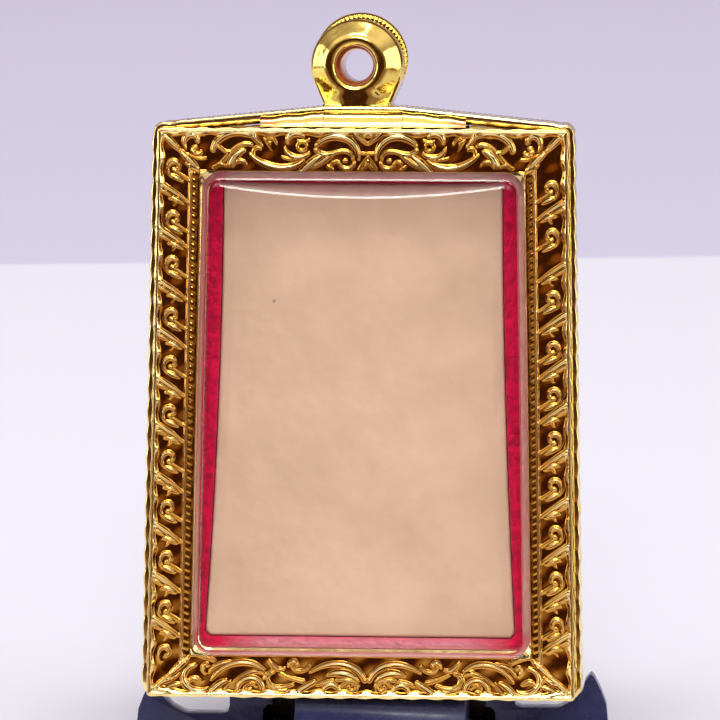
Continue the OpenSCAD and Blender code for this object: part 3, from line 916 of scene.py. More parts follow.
# Half of the top bar: x outwards from the middle, y up from the bar's outer edge.
TOP_ROWS = (
    (1.30,  -0.14, -138, 1.63, -1,   0,    0.36, 0.28, 0.16),
    (-0.41, 0.06,  -45,  0.96, 0,    0,    0.32, 0.28, 0.16),
    (0.00,  -2.21, -53,  1.24, -6,   0,    0.12, 0.14, 0.12),
    (0.05,  -2.52, -86,  0.79, 48,   0,    0.10, 0.14, 0.10),
    (0.52,  -1.97, -174, 0.96, -11,  0,    0.08, 0.11, 0.08),
    (0.67,  -2.44, 95,   4.46, -148, 10,   0.12, 0.56, 0.24),
    (1.10,  -2.48, 104,  3.33, -37,  407,  0.16, 0.24, 0.32),
    (2.62,  -2.08, -35,  1.98, 9,    20,   0.24, 0.36, 0.12),
    (3.48,  -2.18, -32,  1.88, -11,  22,   0.32, 0.56, 0.40),
    (2.24,  -2.60, 1,    0.73, -72,  -2,   0.08, 0.17, 0.08),
    (2.60,  -3.23, 31,   0.46, 0,    0,    0.12, 0.17, 0.08),
    (0.99,  -2.68, -85,  1.68, 168,  -5,   0.16, 0.25, 0.16),
    (1.60,  -2.56, 0,    0.16, 0,    0,    0.16, 0.24, 0.16),
    (4.81,  -0.63, 50,   1.70, -150, -3,   0.24, 0.48, 0.16),
    (4.34,  -0.92, -41,  0.93, 69,   -7,   0.08, 0.12, 0.08),
    (4.52,  -1.37, 79,   2.00, -331, -8,   0.16, 0.17, 0.16),
    (6.12,  -1.55, -98,  2.26, -124, 43,   0.12, 0.33, 0.12),
    (4.83,  -2.43, -11,  1.54, 31,   0,    0.08, 0.14, 0.10),
    (4.74,  -2.52, -42,  4.36, 86,   -29,  0.16, 0.48, 0.16),
    (7.98,  -1.59, 34,   1.25, -153, 133,  0.24, 0.20, 0.08),
    (6.76,  -1.22, 70,   1.38, -274, -239, 0.14, 0.16, 0.14),
    (7.14,  -1.70, 58,   1.04, 0,    0,    0.08, 0.11, 0.08),
    (8.24,  -0.12, -32,  1.50, -90,  174,  0.40, 0.36, 0.16),
    (8.49,  -0.71, 27,   3.70, -110, -48,  0.16, 0.48, 0.36),
    (8.62,  -1.33, 22,   3.55, -42,  198,  0.20, 0.24, 0.14),
    (9.13,  -1.77, -13,  1.70, -54,  40,   0.20, 0.56, 0.28),
    (8.98,  -2.85, 59,   1.31, -135, 14,   0.14, 0.24, 0.12),
    (10.25, -1.85, -35,  1.05, 47,   -210, 0.16, 0.20, 0.16),
    (10.50, -3.04, 44,   0.69, -68,  -1,   0.12, 0.24, 0.12),
    (12.62, -1.04, 105,  2.24, -224, 127,  0.32, 0.44, 0.12),
    (12.69, -1.51, -8,   1.29, -242, 22,   0.16, 0.32, 0.16),
    (13.69, -1.84, -107, 2.06, -95,  -8,   0.16, 0.36, 0.24),
    (12.01, -2.40, -13,  1.37, 55,   3,    0.10, 0.12, 0.08),
    (12.02, -3.52, 12,   1.60, 27,   -3,   0.20, 0.28, 0.16))

# Half of the bottom bar: x outwards from the middle, y up from the bar's outer edge.
BOTTOM_ROWS = (
    (0.17,  1.44,  71,   4.71, -103, 58,   0.32, 0.40, 0.16),
    (0.68,  1.39,  51,   2.48, -73,  18,   0.12, 0.52, 0.12),
    (0.64,  1.03,  47,   1.77, -65,  6,    0.12, 0.24, 0.17),
    (2.55,  1.35,  -10,  1.17, -11,  0,    0.20, 0.25, 0.16),
    (3.95,  1.28,  -29,  2.02, -9,   6,    0.28, 0.38, 0.32),
    (1.97,  0.92,  126,  2.64, 349,  270,  0.12, 0.19, 0.16),
    (2.05,  0.55,  76,   1.81, -165, -15,  0.20, 0.36, 0.16),
    (4.31,  2.59,  -66,  1.66, 135,  16,   0.16, 0.22, 0.16),
    (5.21,  2.63,  92,   1.02, -177, 71,   0.24, 0.33, 0.12),
    (6.17,  2.36,  -54,  1.54, 88,   -213, 0.12, 0.32, 0.12),
    (4.75,  1.31,  11,   1.87, 19,   4,    0.24, 0.19, 0.12),
    (6.97,  2.01,  -7,   2.98, -194, 201,  0.14, 0.25, 0.16),
    (5.99,  0.60,  -15,  1.46, 67,   9,    0.17, 0.22, 0.12),
    (7.17,  2.11,  -41,  0.80, -16,  0,    0.16, 0.22, 0.16),
    (7.74,  2.03,  -121, 0.80, -3,   0,    0.16, 0.20, 0.16),
    (7.72,  2.25,  38,   4.47, -99,  4,    0.20, 0.44, 0.16),
    (10.24, 2.84,  -15,  1.84, -55,  -72,  0.12, 0.32, 0.12),
    (7.74,  1.99,  41,   0.87, -41,  0,    0.16, 0.17, 0.08),
    (7.84,  1.95,  27,   2.43, -59,  96,   0.12, 0.22, 0.10),
    (7.76,  0.63,  90,   3.01, -178, 19,   0.28, 0.40, 0.24),
    (8.25,  0.84,  61,   1.52, -184, -12,  0.10, 0.17, 0.08),
    (8.70,  0.60,  -16,  0.29, 0,    0,    0.20, 0.29, 0.20),
    (10.58, 1.28,  -17,  1.81, -24,  63,   0.28, 0.48, 0.40),
    (10.21, 1.27,  -69,  1.35, 23,   -33,  0.12, 0.25, 0.10),
    (11.86, 2.46,  73,   1.16, -201, 218,  0.17, 0.29, 0.10),
    (12.88, 2.50,  -5,   3.80, -205, 44,   0.25, 0.48, 0.16),
    (13.28, 1.13,  81,   1.24, 122,  -188, 0.16, 0.32, 0.12),
    (11.40, 2.91,  30,   1.23, -22,  0,    0.20, 0.25, 0.16),
    (14.09, 1.75,  -36,  1.33, 15,   0,    0.12, 0.33, 0.12),
    (13.89, 1.01,  -5,   1.14, -25,  0,    0.14, 0.33, 0.16),
    (12.82, 0.12,  6,    3.42, 11,   7,    0.20, 0.52, 0.32))

# Small teeth on the inner side of a rim: distance from the middle of its ornament, depth.
TOP_TEETH = ((4.25, 0.55), (6.40, 0.52), (8.35, 0.62), (12.10, 0.76), (14.40, 0.52))
BOTTOM_TEETH = ((1.95, 0.50), (3.45, 0.50), (5.70, 0.50), (7.75, 0.52), (9.90, 0.56))


@dataclass(frozen=True)
class Relief:
    """The cast relief of a frame: scrollwork, rims, mitre leaves and rope borders, as a height
    over the frame's ground."""

    top_axis: float = 0.45
    bottom_axis: float = 0.55
    left_stretch: float = 1.07
    deep: float = 0.37
    rim_crest: float = 0.25
    rim_foot: float = 0.60
    rim_wave: float = 0.12
    rim_edge: float = 0.14
    tooth_root: float = 0.2
    tooth_tip: float = 0.08
    tooth_w: float = 0.34
    tooth_end_w: float = 0.02
    bead_in: float = 0.12
    bead_half: float = 0.11
    bead_h: float = 0.30
    rope_in: float = 3.02
    rope_half: float = 0.27
    rope_pitch: float = 0.57
    rope_slant: float = 0.5
    rope_h: float = 0.12
    rope_cut: float = 0.55
    divider_in: float = 2.72
    divider_half: float = 0.12
    divider_h: float = 0.26
    leaf_outer: float = 0.3
    leaf_inner: float = 0.15
    leaf_w: float = 0.18
    leaf_swell: float = 0.30
    ground: float = 0.028
    ground_wave: float = 0.014
    side_from: float = 3.4
    side_to: float = 2.5
    swell: float = 0.03
    lift: float = 0.03
    plain_h: float = 0.10
    height_share: float = 0.42
    stroke_step: float = 0.05

    def strokes(self) -> list[tuple[Array, Array]]:
        """All the strokes of a frame.

        Returns:
            Pairs of centre line and widths.
        """
        lines: list[tuple[Array, Array]] = []

        def add(rows: tuple, scale: tuple[float, float], shift: tuple[float, float]) -> None:
            """Adds rows of strokes, scaled and moved: each point times scale, plus shift."""
            for row in rows:
                stroke = Stroke(*row)
                count = max(4, int(stroke.run / self.stroke_step))
                line, width = stroke.line(count)
                lines.append((line * np.array(scale) + np.array(shift), width))

        for x_scale in (1.0, -self.left_stretch):
            add(TOP_ROWS, (x_scale, 1.0), (self.top_axis, CASE.height))
            add(BOTTOM_ROWS, (x_scale, 1.0), (self.bottom_axis, 0.0))
        curl = tuple(SIDE_ROWS[k] for k in CURL_ROWS)
        for sign, roots, curl_y in ((1.0, LEFT_ROOTS, LEFT_CURL), (-1.0, RIGHT_ROOTS, RIGHT_CURL)):
            for y in roots:
                add(SIDE_ROWS, (sign, 1.0), (-sign * CASE.half_width(y), y))
            add(curl, (sign, 1.0), (-sign * CASE.half_width(curl_y), curl_y))
        return lines

    def mitre_leaves(self) -> list[tuple[Array, Array]]:
        """A leaf along each mitre, from the outer corner to the window's corner.

        Returns:
            Pairs of centre line and widths.
        """
        leaves = []
        outer, inner = self.leaf_outer, self.leaf_inner
        f = np.linspace(0, 1, 60)
        width = self.leaf_w + self.leaf_swell * np.abs(np.sin(2 * math.pi * f)) ** 0.7
        for outer_y, inner_y in ((outer, CASE.bottom_bar - inner),
                                 (CASE.height - outer, CASE.height - CASE.top_bar + inner)):
            for sign in (-1.0, 1.0):
                start = np.array([sign * (CASE.half_width(outer_y) - outer), outer_y])
                end = np.array([sign * (CASE.half_width(inner_y) - CASE.side_bar + inner),
                                inner_y])
                leaves.append((start + (end - start) * f[:, None], width))
        return leaves

    def swollen(self, points: Array, height: Array, line: Array, width: Array,
                in_bar: "Array | None") -> None:
        """Raises the height over one stroke: a dome (1 - r²)^1.3 over the share r of its half
        width, with a height that grows with its width.

        Args:
            points: rows of x, y.
            height: the height at each point, which is changed.
            line: the stroke's centre line.
            width: its widths.
            in_bar: which points the stroke may raise, or None for all.
        """
        half = width / 2 + self.swell
        line = line + np.array([0.0, self.lift])
        reach = half.max()
        near = np.all((points > line.min(0) - reach) & (points < line.max(0) + reach), axis=1)
        if in_bar is not None:
            near &= in_bar
        at = np.flatnonzero(near)
        if not at.size:
            return
        away = np.linalg.norm(points[at, None, :] - line[None, :, :], axis=2) / half[None, :]
        top = self.plain_h + self.height_share * width
        dome = top[None, :] * np.clip(1 - away**2, 0, None) ** 1.3
        height[at] = np.maximum(height[at], dome.max(axis=1))

    def height(self, points: Array) -> Array:
        """The relief's height over the ground.

        Args:
            points: rows of x, y on the face.

        Returns:
            Heights in millimetres.
        """
        x, y = points.T
        side = CASE.half_width(y) - np.abs(x)
        top, bottom = CASE.height - y, y
        edge = np.minimum(side, np.minimum(top, bottom))
        inner = np.maximum(np.abs(x) - (CASE.half_width(y) - CASE.side_bar),
                           np.maximum(CASE.bottom_bar - y, y - (CASE.height - CASE.top_bar)))
        on_side = side < np.minimum(top, bottom) * (CASE.side_bar / CASE.top_bar)
        height = self.ground + self.ground_wave * (np.sin(2.6 * x + 1.9 * y)
                                                   + np.sin(3.4 * y - 2.1 * x + 0.8))
        for line, width in self.strokes():
            mid_x, mid_y = line[len(line) // 2]
            sideways = (abs(mid_x) > CASE.half_width(mid_y) - CASE.side_bar
                        and self.side_from < mid_y < CASE.height - self.side_to)
            self.swollen(points, height, line, width, on_side if sideways else ~on_side)
        for line, width in self.mitre_leaves():
            self.swollen(points, height, line, width, None)
        share = np.linspace(0, 1, 12)[:, None]
        width = np.linspace(self.tooth_w, self.tooth_end_w, share.size)
        for rows, axis, base, sign in ((TOP_TEETH, self.top_axis, CASE.height, -1.0),
                                       (BOTTOM_TEETH, self.bottom_axis, 0.0, 1.0)):
            for distance, depth in rows:
                for x_scale in (1.0, -self.left_stretch):
                    root = np.array([axis + x_scale * distance, base + sign * self.tooth_root])
                    tip = np.array([root[0], base + sign * (depth - self.tooth_tip)])
                    self.swollen(points, height, root + (tip - root) * share, width, None)

        def ridge(distance: Array, half: float, top_h: float) -> Array:
            """A half-round ridge: its height over a distance from its crest."""
            return top_h * np.sqrt(np.clip(1 - (distance / half) ** 2, 0, None))

        along = np.where(side < np.minimum(top, bottom), y, x)
        foot = self.rim_foot + self.rim_wave * np.sin(2 * math.pi * along / CASE.scallop_pitch)
        inside = np.clip((foot - edge) / (foot - self.rim_crest), 0, 1)
        outside = 1 - self.rim_edge / self.deep * (1 - edge / self.rim_crest)
        rim = self.deep * np.minimum(inside, outside)
        height = np.maximum(height, rim)
        height = np.maximum(height, ridge(inner + self.bead_in, self.bead_half, self.bead_h))
        divider = ridge(side - self.divider_in, self.divider_half, self.divider_h)
        lay = (y + self.rope_slant * (side - self.rope_in)) / self.rope_pitch
        strand = 1 - self.rope_cut * (1 - np.abs(np.cos(math.pi * lay)) ** 0.7)
        rope = ridge(side - self.rope_in, self.rope_half, self.rope_h) * strand
        return np.where(on_side, np.maximum(height, np.maximum(divider, rope)), height)


@dataclass(frozen=True)
class ScrollFrame:
    """One mitred frame of the case: four bars with the relief on their faces."""

    side: Side
    step: float
    wave: float = 0.045
    wave_fade: float = 1.5
    edge_r: float = 0.35
    window_r: float = 0.7

    def corners(self, bar: Bar) -> tuple[Array, Array]:
        """The straight lines of a bar, before its corners are rounded.

        Args:
            bar: which bar.

        Returns:
            The outer line's two ends and the window line's two ends.
        """
        def points(inset: float, top: float, bottom: float) -> dict[str, tuple[float, float]]:
            """Corners of the outline moved inwards."""
            low, high = bottom, CASE.height - top
            wide_low, wide_high = CASE.half_width(low) - inset, CASE.half_width(high) - inset
            return {"bl": (-wide_low, low), "br": (wide_low, low), "tr": (wide_high, high),
                    "tl": (-wide_high, high)}

        outer = points(0.0, 0.0, 0.0)
        window = points(CASE.side_bar, CASE.top_bar, CASE.bottom_bar)
        ends = {Bar.BOTTOM: ("bl", "br"), Bar.RIGHT: ("br", "tr"), Bar.TOP: ("tr", "tl"),
                Bar.LEFT: ("tl", "bl")}[bar]
        return (np.array([outer[k] for k in ends]), np.array([window[k] for k in ends]))

    @staticmethod
    def rounded_line(ends: Array, radius: float, share: Array) -> Array:
        """A bar's edge with the near halves of its rounded corners: a straight line that bends
        inwards by r - sqrt(r² - (r - t)²) within r of a corner.

        Args:
            ends: the sharp corners at both ends.
            radius: corner radius.
            share: places along the line, from 0 to 1.

        Returns:
            Rows of x, y.
        """
        span = ends[1] - ends[0]
        length = float(np.linalg.norm(span))
        along = span / length
        inwards = np.array([-along[1], along[0]])
        skip = radius * (1 - math.sqrt(0.5))
        t = skip + share * (length - 2 * skip)
        near = np.minimum(t, length - t)
        bend = radius - np.sqrt(radius**2 - np.clip(radius - near, 0, None) ** 2)
        return ends[0] + along * t[:, None] + inwards * bend[:, None]

    def build(self, bar: Bar, relief: Relief, finish: Material) -> Item:
        """Makes a bar: a closed ring of rows, across its face, down its window wall, along its
        back and up its outer wall, carried from mitre to mitre.

        Args:
            bar: which bar.
            relief: the relief on its face.
            finish: its material.

        Returns:
            The bar's object.
        """
        outer_ends, window_ends = self.corners(bar)
        length = float(np.linalg.norm(outer_ends[1] - outer_ends[0]))
        width = {Bar.TOP: CASE.top_bar, Bar.BOTTOM: CASE.bottom_bar}.get(bar, CASE.side_bar)
        along = int(length / self.step) + 1
        across = int(width / self.step) + 1
        share = np.linspace(0, 1, along)
        outer = self.rounded_line(outer_ends, self.edge_r, share)
        window = self.rounded_line(window_ends, self.window_r, share)
        direction = outer_ends[1] - outer_ends[0]
        outward = np.array([direction[1], -direction[0]]) / np.linalg.norm(direction)
        travel = share * length
        shown_share = smooth_ramp(np.minimum(travel, length - travel) / self.wave_fade)
        wave = self.wave * np.cos(2 * math.pi * travel / CASE.scallop_pitch) * shown_share
        outer = outer + outward * wave[:, None]
        v = np.linspace(0, 1, across)
        face = (outer[:, None, :] * (1 - v)[None, :, None] + window[:, None, :] * v[None, :, None])
        height = self.blurred(relief.height(face.reshape(-1, 2)).reshape(along, across))
        face_z = np.minimum(height - relief.deep, 0.0)
        inner_z, outer_z, back = face_z[:, -1:], face_z[:, :1], -CASE.frame_t
        down = np.array([0.35, 1.0])
        walls = [np.repeat(line[:, None, :], down.size, axis=1) for line in (window, outer)]
        xy = np.concatenate([face, *walls], axis=1)
        z = np.concatenate([face_z, inner_z + (back - inner_z) * down,
                            outer_z + (back - outer_z) * down[::-1]], axis=1)
        if self.side is Side.REAR:
            z = -CASE.depth - z
        rings = np.concatenate([xy, z[:, :, None]], axis=2)
        # Painted shade: the further a point of the face lies below the relief's top, the browner
        # the gold there.
        depth = np.zeros(z.shape)
        depth[:, :across] = np.clip(1 - height / relief.deep, 0, 1)
        return add_piece(f"{self.side.value}_frame_{bar.value}", lofted(rings, Ends.CAPPED),
                         finish, f"{self.side.value}_bezel", depth.ravel())

    @staticmethod
    def blurred(height: Array) -> Array:
        """Softens a height map once: a quarter, half and quarter of neighbours both ways."""
        padded = np.pad(height, 1, mode="edge")
        rows = 0.25 * padded[:-2] + 0.5 * padded[1:-1] + 0.25 * padded[2:]
        return 0.25 * rows[:, :-2] + 0.5 * rows[:, 1:-1] + 0.25 * rows[:, 2:]


# Band, saddle and bail


@dataclass(frozen=True)
class SideBand:
    """The band round the case: a thin wall with a scalloped outer face, beaded edges, a roof
    ridge, and two inner shelves."""

    proud: float = 0.55
    over: float = 0.45
    drop: float = 0.1
    wall: float = 0.9
    radius: float = 1.0
    roof_rise: float = 1.3
    roof_half: float = 2.9
    points: int = 900
    scallop: float = 0.12
    bead: float = 0.035
    bead_pitch: float = 0.42
    play: float = 0.03
    shelf_t: float = 0.8
    shelf_in: float = 0.2
    shelf_play: float = 0.05

    def profile(self, front: float, back: float) -> list[tuple[float, float, float, float]]:
        """The wall's closed section. Each point is an offset from the outline, a depth, and the
        shares of the scallop and of the beads that it takes; the back repeats the front.

        Args:
            front: depth of the wall's front edge.
            back: depth of its back edge.

        Returns:
            The points in order, from the inside of the front edge.
        """
        half = ((-self.wall, 0.0, 0.0, 0.0), (-0.16, 0.0, 0.4, 0.0), (-0.05, 0.05, 1.0, 0.6),
                (0.0, 0.16, 1.0, 1.0), (0.0, 0.34, 1.0, 1.0), (-0.07, 0.46, 1.0, 0.2),
                (-0.09, 0.8, 1.0, 0.0), (-0.05, 1.6, 1.0, 0.0))
        middle = (front + back) / 2
        return ([(offset, front - way, *shares) for offset, way, *shares in half]
                + [(-0.04, middle, 1.0, 0.0)]
                + [(offset, back + way, *shares) for offset, way, *shares in half[::-1]]
                + [(-self.wall, middle, 0.0, 0.0)])

    def build(self, finish: Material) -> Item:
        """Makes the band: its profile carried round the outline, each row moved along the
        outline's normals, and the two shelves.

        Args:
            finish: its material.

        Returns:
            The band's object.
        """
        top = CASE.height + self.over
        roof = ((self.roof_half, top + self.roof_rise), (-self.roof_half, top + self.roof_rise))
        outline = CASE.outline(-self.proud, -self.over, -self.drop, self.radius, roof)
        length = len(outline)
        pick = outline[(np.arange(self.points) * length / self.points).astype(int)]
        ahead = np.roll(pick, -2, axis=0) - np.roll(pick, 2, axis=0)
        normal = np.stack([ahead[:, 1], -ahead[:, 0]], axis=1)
        normal /= np.linalg.norm(normal, axis=1)[:, None]
        travel = np.arange(self.points) * (length * OUTLINE_STEP) / self.points
        scallop = -self.scallop * (1 - np.abs(np.cos(math.pi * travel / CASE.scallop_pitch)) ** 0.8)
        bead = self.bead * (np.cos(2 * math.pi * travel / self.bead_pitch) - 1)
        on_top = smooth_ramp((pick[:, 1] - top + 0.05) / 0.3)
        rows = []
        front, back = -CASE.frame_t - self.play, -CASE.depth + CASE.frame_t + self.play
        for offset, z, scalloped, beaded in self.profile(front, back):
            out = offset + scalloped * scallop * (1 - on_top) + beaded * bead * on_top
            rows.append(at_depth(pick + normal * out[:, None], z))
        parts = [lofted(rows, Ends.JOINED)]
        foot = CASE.outline(self.shelf_in, self.shelf_in, self.shelf_in, 0.6)
        angles = bearings(foot, 240)
        outer = at_bearings(foot, angles)
        inner = at_bearings(CASE.outline(
            CASE.side_bar + CASE.pane_gap + 0.01, CASE.top_bar + CASE.pane_gap + self.shelf_play,
            CASE.bottom_bar + CASE.pane_gap - self.shelf_play, 0.8), angles)
        shelf_top = -CASE.frame_t - 2 * CASE.gap - CASE.flange_t
        for z in (shelf_top, -CASE.depth - shelf_top + self.shelf_t):
            low = z - self.shelf_t
            parts.append(lofted([at_depth(outer, z), at_depth(inner, z), at_depth(inner, low),
                                 at_depth(outer, low)], Ends.JOINED))
        return add_piece("side_band", merged(parts), finish, "band_and_bail")


@dataclass(frozen=True)
class Saddle:
    """The bar soldered on the band's roof, with a block in its middle."""

    length: float = 16.3
    block_w: float = 6.3
    end_h: float = 0.55
    middle_h: float = 1.0
    proud: float = 0.45
    sunk: float = 0.2
    slant: float = 1.05
    bar_in: float = 0.9
    block_in: float = 0.6
    block_low: float = 0.05
    uneven: float = 0.035
    # shade_end, shade_top, shade_fade: how far the painted shadow reaches in from each end, how
    # high over the roof it stays dark, and how softly it ends above that.
    shade_end: float = 2.6
    shade_top: float = 0.45
    shade_fade: float = 0.3

    def bar(self, x: Array, top: Array, low: float, inset: float) -> Surface:
        """A bar whose front and back lean in towards its top: a section in y and z with the
        faces' convex slants close to quarter ellipses, carried along x.

        Args:
            x: places along the bar.
            top: its top at each.
            low: its underside.
            inset: how far it stands in from the front and back of the case.

        Returns:
            Points, quads and the two end faces.
        """
        turn = np.linspace(0, math.pi / 2, 10)
        rise = top - CASE.height - 0.02

        def up(z: float, inwards: float) -> list[Array]:
            """One side's lines along x, from its foot to its top."""
            places = [(np.full(x.size, low), z)]
            places += [(top - rise * (1 - math.sin(a) ** 0.85),
                        z + inwards * (1 - math.cos(a)) ** 0.8) for a in turn]
            return [at_depth(np.column_stack([x, y]), depth) for y, depth in places]

        section = up(-inset, -self.slant) + up(-CASE.depth + inset, self.slant)[::-1]
        return lofted(np.stack(section, axis=1), Ends.CAPPED)

    def build(self, finish: Material) -> Item:
        """Makes the saddle bar, whose top falls unevenly from the block to its ends, and the
        block. The bar's ends carry a painted shadow low down, by the roof.

        Args:
            finish: its material.

        Returns:
            The object.
        """
        low, roof = CASE.height + self.sunk, CASE.height + self.proud
        x = np.linspace(-self.length / 2, self.length / 2, 260)
        top = roof + self.end_h + (self.middle_h - self.end_h) * np.clip(
            (self.length / 2 - np.abs(x)) / ((self.length - self.block_w) / 2), 0, 1)
        past_block = smooth_ramp((np.abs(x) - 3.3) / 0.8)
        top = top + self.uneven * np.sin(x * 2.9 + 0.6) * past_block
        block_x = np.linspace(-self.block_w / 2, self.block_w / 2, 60)
        block_top = np.full(block_x.size, roof + self.middle_h - self.block_low)
        surface = merged([self.bar(x, top, low, self.bar_in),
                          self.bar(block_x, block_top, low, self.block_in)])
        x, y, _ = surface[0].T
        # Painted shadow: towards each end of the bar and low down, the gold turns brown.
        painted_shadow = smooth_ramp((np.abs(x) - self.length / 2 + self.shade_end) / self.shade_end)
        painted_shadow = painted_shadow * smooth_ramp((roof + self.shade_top - y) / self.shade_fade)
        return add_piece("saddle_bar", surface, finish, "band_and_bail", painted_shadow)


@dataclass(frozen=True)
class Bail:
    """The fat ring bail with its waisted neck, and the milled crown on its back half. Places are
    measured from the bore's middle; each point of bore_wall has its flare, depth and share of
    painted shade."""

    centre_x: float = -0.5
    centre_y: float = CASE.height + 4.95
    outer_r: float = 3.65
    bore_r: float = 1.25
    half_depth: float = 2.5
    crest_r: float = 1.98
    lip_r: float = 0.4
    rim_z: float = 1.25
    # Painted shade: the bore's wall and the inside of its lip turn brown, darkest in the bore.
    bore_wall: tuple[tuple[float, float, float], ...] = (
        (0.0, 0.0, 1.0), (0.0, 1.25, 1.0), (0.05, 1.5, 1.0), (0.16, 1.8, 0.9))
    lip_shade: float = 0.6
    flank_from: float = math.radians(-25)
    waist_half: float = 2.6
    waist_y: float = -3.12
    foot_half: float = 3.08
    neck_flat: float = 0.18
    neck_from: float = 1.4
    neck_fade: float = 1.2
    fall_start: float = 0.4
    fall_end: float = 0.9
    lean: float = 0.075
    foot_y: float = -3.95
    crown_lift: float = 0.42
    crown_shift: float = 0.15
    crown_r: float = 3.73
    crown_t: float = 1.5
    crown_back: float = 0.2
    crown_wall: float = 0.4
    crown_edge: float = 0.4
    crown_notches: int = 60
    notch_depth: float = 0.10

    def outline(self) -> Array:
        """The ring's outline round the bore's middle: a circle whose flanks run straight down
        to a waist, below which a collar flares out.

        Returns:
            Rows of x, y.
        """
        turn = np.linspace(self.flank_from, math.pi - self.flank_from, 120)
        ring = self.outer_r * np.stack([np.cos(turn), np.sin(turn)], axis=1)
        flank = np.array([[-self.waist_half, self.waist_y],
                          [-self.foot_half + 0.12, self.waist_y - 0.3],
                          [-self.foot_half, self.waist_y - 0.5], [-self.foot_half, self.foot_y]])
        return densified(np.concatenate([ring, flank, flank[::-1] * np.array([-1.0, 1.0])]), 0.02)

    def build(self, finish: Material) -> Item:
        """Makes the ring and neck: round the bore, a profile goes up the bore's flared wall and
        over a lip, and falls to the outline as a cone that starts softly and ends steeply. In
        the neck it falls by the share of the half width instead. Both faces are alike, and the
        whole leans sideways with depth.

        Args:
            finish: its material.

        Returns:
            The object.
        """
        angle = np.linspace(-math.pi, math.pi, 360, endpoint=False)
        edge = at_bearings(self.outline(), angle, np.zeros(2))
        reach = np.linalg.norm(edge, axis=1)
        reach = 0.25 * np.roll(reach, 1) + 0.5 * reach + 0.25 * np.roll(reach, -1)
        sides = self.outline()
        sides = sides[(sides[:, 0] > 0) & (sides[:, 1] > self.foot_y + 0.01)]
        sides = sides[np.argsort(sides[:, 1])]
        place = np.linspace(0, 1, 121)
        steep = np.clip(place - self.fall_end, 0, None) / (1 - self.fall_end)
        slope = smooth_ramp(place / self.fall_start) + 2.0 * steep
        fall = np.concatenate([[0.0], np.cumsum(slope[1:] + slope[:-1])])
        fall = 1 - fall / fall[-1]
        ones = np.ones_like(reach)
        profile = [((self.bore_r + flare) * ones, z * ones, shade_share)
                   for flare, z, shade_share in self.bore_wall]
        for a in np.linspace(math.pi, math.pi / 2, 9):
            profile.append(((self.crest_r + self.lip_r * math.cos(a)) * ones,
                            (self.half_depth - self.lip_r * (1 - math.sin(a))) * ones,
                            self.lip_shade * max(0.0, -math.cos(a)) ** 2))
        for share in np.concatenate([np.linspace(0, 0.9, 28)[1:], np.linspace(0.92, 1.0, 9)]):
            radius = self.crest_r + (reach - self.crest_r) * share
            x, y = radius * np.cos(angle), radius * np.sin(angle)
            breadth = np.abs(x) / np.interp(y, sides[:, 1], sides[:, 0])
            low = smooth_ramp((-y - self.neck_from) / self.neck_fade)
            across = np.clip((breadth - self.neck_flat) / (1 - self.neck_flat), 0, 1)
            sink = np.interp(share + (across - share) * low, place, fall)
            profile.append((radius, self.rim_z + (self.half_depth - self.rim_z) * sink, 0.0))
        middle = -CASE.depth / 2
        rows, shaded = [], []
        mirrored = [(radius, -z, shade_share) for radius, z, shade_share in profile[:0:-1]]
        for radius, z, shade_share in profile + mirrored:
            rows.append(np.stack([self.centre_x - self.lean * z + radius * np.cos(angle),
                                  self.centre_y + radius * np.sin(angle), middle + z], axis=1))
            shaded.append(np.full(angle.size, shade_share))
        return add_piece("bail_ring", lofted(rows, Ends.JOINED), finish, "band_and_bail",
                         np.concatenate(shaded))

    def build_crown(self, finish: Material) -> Item:
        """Makes the crown: a disc's closed profile turned about the bore, its front rim milled
        with fine notches.

        Args:
            finish: its material.

        Returns:
            The object.
        """
        angle = np.linspace(0, 2 * math.pi, 480, endpoint=False)
        inner = self.bore_r + self.crown_lift + self.crown_wall
        notch = self.notch_depth * (0.5 + 0.5 * np.cos(angle * self.crown_notches))
        back = -CASE.depth / 2 - self.crown_t - self.crown_back
        front, r = back + self.crown_t, self.crown_edge
        profile = [(inner, back, 0.0)]
        profile += [(self.crown_r - r + r * math.cos(a), back + r + r * math.sin(a), 0.0)
                    for a in np.linspace(-math.pi / 2, 0, 8)]
        profile += [(self.crown_r - r + r * math.cos(a), front - r + r * math.sin(a),
                     smooth_ramp((a - 0.2) / 0.7)) for a in np.linspace(0, math.pi / 2, 10)]
        profile.append((inner, front, 0.0))
        centre = np.array([self.centre_x + self.crown_shift, self.centre_y + self.crown_lift])
        way = np.column_stack([np.cos(angle), np.sin(angle)])
        loops = [at_depth(centre + (radius - milled * notch)[:, None] * way, z)
                 for radius, z, milled in profile]
        return add_piece("bail_crown", lofted(loops, Ends.JOINED), finish,
                         "band_and_bail")


# Pane, tablet and liner


